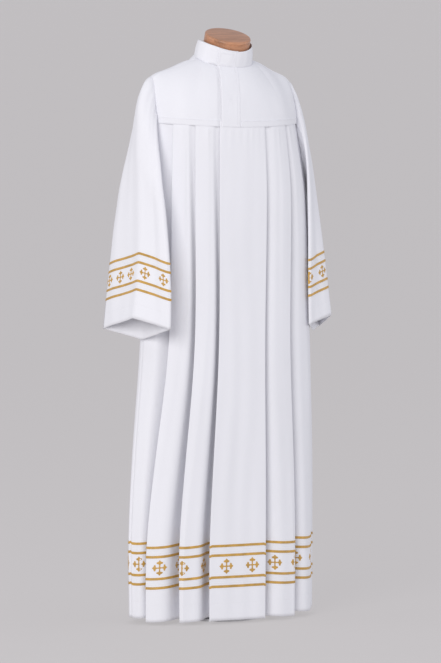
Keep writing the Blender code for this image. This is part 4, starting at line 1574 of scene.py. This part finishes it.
class ALB_OT_collar(bpy.types.Operator):
    """Build the stand collar with its overlap"""

    bl_idname = "alb.collar"
    bl_label = "Collar"

    def execute(self, context):
        wall = 2 * context.scene.alb_sizes.wall
        made = cloth_object("stand_collar", collar_surface(), wall, "collar")
        width, length = CUT["collar"]
        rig.sheet(
            made, flat=(width, length), held="draped", rests_on=["cloth_yoke_front_left", "cloth_yoke_back"]
        )
        return {"FINISHED"}


class ALB_OT_sleeves(bpy.types.Operator):
    """Build the two open sleeves"""

    bl_idname = "alb.sleeves"
    bl_label = "Sleeves"

    def execute(self, context):
        for piece in SLEEVE_PIECES:
            wall = context.scene.alb_sizes.wall
            surface = sleeve_surface(piece.split("_")[1])
            made = cloth_object("cloth_" + piece, surface, wall, piece)
            width, length, area = CUT[piece]
            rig.sheet(made, flat=(width, length), held="hung", rests_on=["cloth_yoke_back"], area=area)
        return {"FINISHED"}


def cross_places(piece, run):
    """Distances along the cloth of each cross over a hem or a cuff."""
    if piece in CROSSES:
        return CROSSES[piece]
    count = int((run[-1] - CROSS_ROOM) / CROSS_PITCH)
    return [FIRST_CROSS + CROSS_PITCH * i for i in range(count + 1)]


def embroider(sizes, pieces, bands, name):
    """The gold lines, the ribs between them and the crosses along the lower edge of some pieces."""
    skin = sizes.wall / 2
    foot = skin + FOOT
    gold = Builder()
    white = Builder()
    for piece in pieces:
        surface = SURFACES[piece]
        columns = surface.all_columns()
        for line in bands["lines"]:
            half = bands["width"] / 2
            gold.strip(surface, columns, line - half, line + half, skin + sizes.cord, foot)
        for low, high in (bands["lines"][:2], bands["lines"][2:]):
            step = (high - low) / (RIBS + 1)
            for i in range(RIBS):
                middle = low + step * (i + 1)
                half = sizes.rib / 2
                white.strip(surface, columns, middle - half, middle + half, skin + RIB_LIFT, foot)
        run = surface.run_at(bands["cross"])
        for place in cross_places(piece, run):
            add_cross(gold, surface, run, place, bands["cross"], bands["size"])
    finish_piece(gold.mesh(name + "_gold", finish("gold_thread")), "cloth")
    finish_piece(white.mesh(name + "_ribs", finish("white_thread")), "cloth")


class ALB_OT_hem_embroidery(bpy.types.Operator):
    """Lay the gold lines, the ribs and the crosses round the hem"""

    bl_idname = "alb.hem_embroidery"
    bl_label = "Hem embroidery"

    def execute(self, context):
        embroider(context.scene.alb_sizes, SKIRT_PIECES, HEM_BANDS, "hem")
        return {"FINISHED"}


class ALB_OT_cuff_embroidery(bpy.types.Operator):
    """Lay the gold lines, the ribs and the crosses round the cuffs"""

    bl_idname = "alb.cuff_embroidery"
    bl_label = "Cuff embroidery"

    def execute(self, context):
        embroider(context.scene.alb_sizes, SLEEVE_PIECES, CUFF_BANDS, "cuff")
        return {"FINISHED"}


def line_path(surface, places, lift):
    """Points and outward directions along (column, height) places."""
    path = []
    for column, height in places:
        low = surface.at(column, height, 0.0)
        high = surface.at(column, height, 0.001)
        normal = (high - low) / max(np.linalg.norm(high - low), 1e-9)
        path.append((low + normal * lift, normal))
    return path


def column_at(run, distance):
    """The part column at a distance along the cloth, where run gives each column's distance."""
    return float(np.interp(distance, run, np.arange(len(run))))


class Sewing:
    """Gathers the stitches and the doubled edges under them."""

    def __init__(self, sizes):
        self.sizes = sizes
        self.skin = sizes.wall / 2
        self.thread = Builder()
        self.bands = Builder()

    def sew(self, surface, places, skin, width=0.0007, lift=0.0005, pitch=STITCH_PITCH):
        """A row of stitches through (column, height) places, over the cloth's skin."""
        stitch = self.sizes.stitch
        self.thread.stitches(line_path(surface, places, skin), stitch * pitch, stitch, width, lift)

    def across(self, surface, height):
        """A row of stitches along the whole piece."""
        self.sew(surface, [(c, height) for c in surface.all_columns()], self.skin)

    def yoke(self, piece):
        """The seam's turned edge along the yoke, then the back's top edge or the front's shoulder."""
        surface = SURFACES[piece]
        skin = self.skin
        columns = surface.all_columns()
        if piece == "yoke_front_right":
            columns = [c for c in columns if surface.shares[c] < -PLACKET_SHARE + 0.03]
        if piece == "yoke_front_left":
            first = PLACKET_LINES[1] + 0.004
            run = surface.run_at(0.02)
            at = run if surface.shares[0] < 0 else run[-1] - run
            columns = [c for c in columns if at[c] > first]
        low, high = SEAM_BAND
        self.bands.strip(surface, columns, low, high, skin + SEAM_THICK, skin + FOOT, side=0.0007)
        for height in SEAM_LINES:
            self.sew(surface, [(c, height) for c in columns], skin + SEAM_THICK)
        if piece == "yoke_back":
            self.sew(surface, [(c, surface.rise[-1][c] - BACK_LINE) for c in columns], skin)
        else:
            self.shoulder(surface)

    def shoulder(self, surface):
        """The front's felled edge along the shoulder, between two rows of stitching."""
        columns = [c for c, share in enumerate(surface.shares) if abs(share) > NECK_SHARE + 0.01]
        points = []
        for c in columns:
            top = surface.rise[-1][c]
            for down, lift in SHOULDER_BAND:
                points.append(surface.at(c, top - down, self.skin + lift))
        self.bands.tube(points)
        for down in SHOULDER_LINES:
            places = [(c, surface.rise[-1][c] - down) for c in columns]
            self.sew(surface, places, self.skin + SHOULDER_THICK, 0.0006, 0.0004)

    def placket(self):
        """The placket's doubled band and its two rows of stitching on the yoke."""
        yoke = SURFACES["yoke_front_left"]
        last = yoke.points.shape[1] - 1
        flip = yoke.shares[0] > 0
        near = [last - c if flip else c for c in range(26)]
        top = float(yoke.rise[-1].mean())
        band = []
        for at in PLACKET_LINES:
            places = []
            for i in range(PLACKET_STEPS):
                height = PLACKET_FROM + (top * 0.995 - PLACKET_FROM) * i / (PLACKET_STEPS - 1)
                run = yoke.run_at(height, near)
                column = column_at(run, at)
                places.append((last - column if flip else column, height))
                if at != PLACKET_LINES[1]:
                    continue
                edges = (
                    (0.0012, FOOT),
                    (0.0022, PLACKET_THICK),
                    (at + 0.0018, PLACKET_THICK),
                    (at + 0.0028, FOOT),
                )
                for across, lift in edges:
                    column = column_at(run, across)
                    column = last - column if flip else column
                    band.append(yoke.at(column, height, self.skin + lift))
            self.sew(yoke, places, self.skin + PLACKET_THICK, 0.0008, 0.0006)
        self.bands.tube(band)

    def skirt_lines(self):
        """Two rows of stitching down the skirt, inside the pleat to the left of the centre panel."""
        skirt = SURFACES["front_left"]
        start = max(i for i in outer_columns(skirt.columns) if i < LEFT_OF_CENTRE)
        for at in SKIRT_LINES:
            places = []
            for i in range(SKIRT_LINE_STEPS):
                height = SKIRT_LINES_FROM + SKIRT_LINES_RISE * i / (SKIRT_LINE_STEPS - 1)
                run = skirt.run_at(height, range(start, start + 30))
                places.append((column_at(run, at) + start, height))
            self.sew(skirt, places, self.skin, 0.0007, 0.0004)

    def collar(self):
        """The collar's edges, and the tab with its box of stitching on the overlap."""
        collar = SURFACES["collar"]
        skin = self.sizes.wall
        tall = float(collar.rise[-1].mean())
        last = int(collar.points.shape[1] * 360 / (360 + COLLAR_OVERLAP))
        for height in (COLLAR_LINE, tall - COLLAR_LINE):
            self.sew(collar, [(c, height) for c in range(1, last)], skin, 0.0006, 0.0004)
        run = collar.run_at(tall / 2)
        tab = []
        for i in range(TAB_ROWS):
            height = 0.0012 + (tall - 0.0026) * i / (TAB_ROWS - 1)
            for across, lift in TAB_ACROSS:
                tab.append(collar.at(column_at(run, across), height, skin + lift))
        self.bands.tube(tab)
        low = BOX_FROM
        high = tall - BOX_UNDER
        box = ((low, low), (low, high), (BOX_TO, high), (BOX_TO, low), (low, low))
        places = []
        for (a, b), (c, d) in zip(box, box[1:]):
            for i in range(BOX_STEPS):
                across = a + (c - a) * i / BOX_STEPS
                places.append((column_at(run, across), b + (d - b) * i / BOX_STEPS))
        self.sew(collar, places, skin + TAB_THICK, 0.0008, 0.0006, pitch=BOX_PITCH)


class ALB_OT_stitching(bpy.types.Operator):
    """Sew the hem, the cuffs, the yoke's seam, the placket and the collar"""

    bl_idname = "alb.stitching"
    bl_label = "Stitching"

    def execute(self, context):
        sizes = context.scene.alb_sizes
        sewing = Sewing(sizes)
        for piece in SKIRT_PIECES:
            sewing.across(SURFACES[piece], sizes.hem)
        for piece in SLEEVE_PIECES:
            sewing.across(SURFACES[piece], CUFF_STITCHING)
        for piece in YOKE_PIECES:
            sewing.yoke(piece)
        sewing.placket()
        sewing.skirt_lines()
        sewing.collar()
        finish_piece(sewing.bands.mesh("doubled_edges", finish("white_cloth")), "cloth")
        finish_piece(sewing.thread.mesh("stitching", finish("white_thread")), "cloth")
        return {"FINISHED"}


class ALB_OT_dress_form(bpy.types.Operator):
    """Build the limbless torso under the robe and the wooden block on its neck"""

    bl_idname = "alb.dress_form"
    bl_label = "Dress form"

    def execute(self, context):
        rings = form_rings()
        build = Builder()
        points = [p for ring in rings for p in ring]
        count = FORM_SIDES
        faces = []
        for r in range(len(rings) - 1):
            for i in range(count):
                j = (i + 1) % count
                low = r * count
                high = low + count
                faces.append((low + i, low + j, high + j, high + i))
        faces.append(tuple(range(count)))
        top = (len(rings) - 1) * count
        faces.append(tuple(top + i for i in range(count)))
        build.add(points, faces)
        torso = build.mesh("torso", finish("form_jersey"), 60)
        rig.replaces(torso, "dress_form")
        finish_piece(torso, "jersey")
        block = turned("neck_cap", finish("turned_wood"), BLOCK_PROFILE, WIDE_SIDES)
        tilt = math.radians(NECK_TILT)
        axis = Vector((0, -math.sin(tilt), math.cos(tilt)))
        block.rotation_euler = (tilt, 0, 0)
        block.location = NECK_TOP - axis * NECK_BLOCK
        bpy.context.view_layer.update()
        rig.replaces(block, "neck_block")
        finish_piece(block, "wood")
        return {"FINISHED"}


def turned(name, material, profile, sides):
    """A body of revolution about its own upright axis, from (radius, height) pairs."""
    build = Builder()
    points = []
    rings = []
    for radius, height in profile:
        if radius == 0.0:
            rings.append([len(points)])
            points.append((0.0, 0.0, height))
            continue
        rings.append(list(range(len(points), len(points) + sides)))
        for i in range(sides):
            turn = 2 * math.pi * i / sides
            points.append((radius * math.cos(turn), radius * math.sin(turn), height))
    faces = []
    for low, high in zip(rings, rings[1:]):
        for i in range(sides):
            j = (i + 1) % sides
            if len(low) == 1:
                faces.append((low[0], high[i], high[j]))
            elif len(high) == 1:
                faces.append((low[i], low[j], high[0]))
            else:
                faces.append((low[i], low[j], high[j], high[i]))
    build.add(points, faces)
    return build.mesh(name, material, 35)


class ALB_OT_stand(bpy.types.Operator):
    """Build the pole and the round base"""

    bl_idname = "alb.stand"
    bl_label = "Stand"

    def execute(self, context):
        steel = finish("painted_steel")
        bottom = BASE_HEIGHT + SEAM
        top = FORM[0]["z"] - SEAM
        r = POLE_RADIUS
        profile = (
            (0.0, bottom),
            (r, bottom),
            (r, top - POLE_TOP),
            (r, top - POLE_BEVEL),
            (r - POLE_BEVEL, top),
            (0.0, top),
        )
        pole = turned("pole", steel, profile, POLE_SIDES)
        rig.replaces(pole, "stand_pole")
        finish_piece(pole, "steel")
        base = turned("base", steel, BASE_PROFILE, WIDE_SIDES)
        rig.replaces(base, "stand_base")
        finish_piece(base, "steel")
        return {"FINISHED"}


# ---- stage ----
PAPER_HALF = 1200.0
PAPER_UNDER = 0.0005  # the paper lies this far under the base
AIR = (0.520, 0.520, 0.560, 1.0)
LAMP_TARGET = (0, 0, 0.9)
# Each lamp's place, the side of its square in metres, its power in watts and its colour.
LAMPS = dict(
    key_lamp=((-6.0, -5.2, 3.4), 4.0, 338.0, (1.0, 0.985, 0.97)),
    fill_lamp=((4.6, -6.4, 2.2), 4.0, 76.0, (0.95, 0.97, 1.0)),
    side_lamp=((7.0, -1.6, 2.4), 4.0, 58.0, (0.93, 0.96, 1.0)),
    rim_lamp=((-6.5, 3.6, 2.6), 3.0, 48.0, (1.0, 1.0, 1.0)),
)
CAMERA_TURN = 30.0  # degrees from straight ahead toward the wearer's right
CAMERA_AWAY = 14.5
CAMERA_HEIGHT = 1.64
CAMERA_TARGET = Vector((0, 0, 0.750))
LENS = 302.8
SENSOR = 36.0
FAR = 3000.0


def area_lamp(name, place, size, power, colour):
    lamp = bpy.data.lights.new(name, "AREA")
    lamp.shape = "RECTANGLE"
    lamp.size = size
    lamp.size_y = size
    lamp.energy = power
    lamp.color = colour
    made = bpy.data.objects.new(name, lamp)
    made.location = place
    made.rotation_euler = (Vector(LAMP_TARGET) - Vector(place)).to_track_quat("-Z", "Y").to_euler()
    bpy.context.scene.collection.objects.link(made)
    return made


class ALB_OT_stage(bpy.types.Operator):
    """Lay the studio paper and set the lamps and the camera"""

    bl_idname = "alb.stage"
    bl_label = "Stage"

    def execute(self, context):
        scene = context.scene
        half = PAPER_HALF
        build = Builder()
        build.add([(-half, -half, 0), (half, -half, 0), (half, half, 0), (-half, half, 0)], [(0, 1, 2, 3)])
        floor = build.mesh("studio_floor", finish("studio_paper"))
        floor.location = (0, 0, -PAPER_UNDER)
        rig.stage(floor)
        world = bpy.data.worlds.new("studio_air")
        world.use_nodes = True
        back = world.node_tree.nodes["Background"]
        back.inputs["Color"].default_value = AIR
        back.inputs["Strength"].default_value = 1.0
        scene.world = world
        lamps = [area_lamp(name, *settings) for name, settings in LAMPS.items()]
        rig.stage(*lamps)
        camera = bpy.data.cameras.new("camera")
        camera.sensor_fit = "VERTICAL"
        camera.sensor_height = SENSOR
        camera.lens = LENS
        camera.clip_end = FAR
        made = bpy.data.objects.new("camera", camera)
        turn = math.radians(CAMERA_TURN)
        away = -CAMERA_AWAY
        place = Vector((away * math.sin(turn), away * math.cos(turn), CAMERA_HEIGHT))
        made.location = place
        made.rotation_euler = (CAMERA_TARGET - place).to_track_quat("-Z", "Y").to_euler()
        scene.collection.objects.link(made)
        scene.camera = made
        scene.view_settings.view_transform = "Standard"
        return {"FINISHED"}


STEPS = (
    ALB_OT_dress_form,
    ALB_OT_stand,
    ALB_OT_skirt,
    ALB_OT_yoke,
    ALB_OT_collar,
    ALB_OT_sleeves,
    ALB_OT_hem_embroidery,
    ALB_OT_cuff_embroidery,
    ALB_OT_stitching,
    ALB_OT_stage,
)


class ALB_PT_panel(bpy.types.Panel):
    """The robe's sizes, colours and pieces"""

    bl_idname = "ALB_PT_panel"
    bl_label = "Alb robe"
    bl_space_type = "VIEW_3D"
    bl_region_type = "UI"
    bl_category = "Alb robe"

    def draw(self, context):
        for group in (context.scene.alb_sizes, context.scene.alb_colours):
            for name in group.__annotations__:
                self.layout.prop(group, name)
        for step in STEPS:
            self.layout.operator(step.bl_idname)


CLASSES = (AlbColours, AlbSizes) + STEPS + (ALB_PT_panel,)


def register():
    for made in CLASSES:
        bpy.utils.register_class(made)
    bpy.types.Scene.alb_colours = PointerProperty(type=AlbColours)
    bpy.types.Scene.alb_sizes = PointerProperty(type=AlbSizes)


def unregister():
    del bpy.types.Scene.alb_sizes
    del bpy.types.Scene.alb_colours
    for made in reversed(CLASSES):
        bpy.utils.unregister_class(made)


def main():
    register()
    bpy.ops.alb.dress_form()
    bpy.ops.alb.stand()
    bpy.ops.alb.skirt()
    bpy.ops.alb.yoke()
    bpy.ops.alb.collar()
    bpy.ops.alb.sleeves()
    bpy.ops.alb.hem_embroidery()
    bpy.ops.alb.cuff_embroidery()
    bpy.ops.alb.stitching()
    bpy.ops.alb.stage()
    sizes = {"solids": SOLID_BOX, "scene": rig.bounds()}
    with open("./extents.json", "w") as out:
        json.dump(sizes, out, default=lambda value: [float(x) for x in value])


if __name__ == "__main__":
    main()
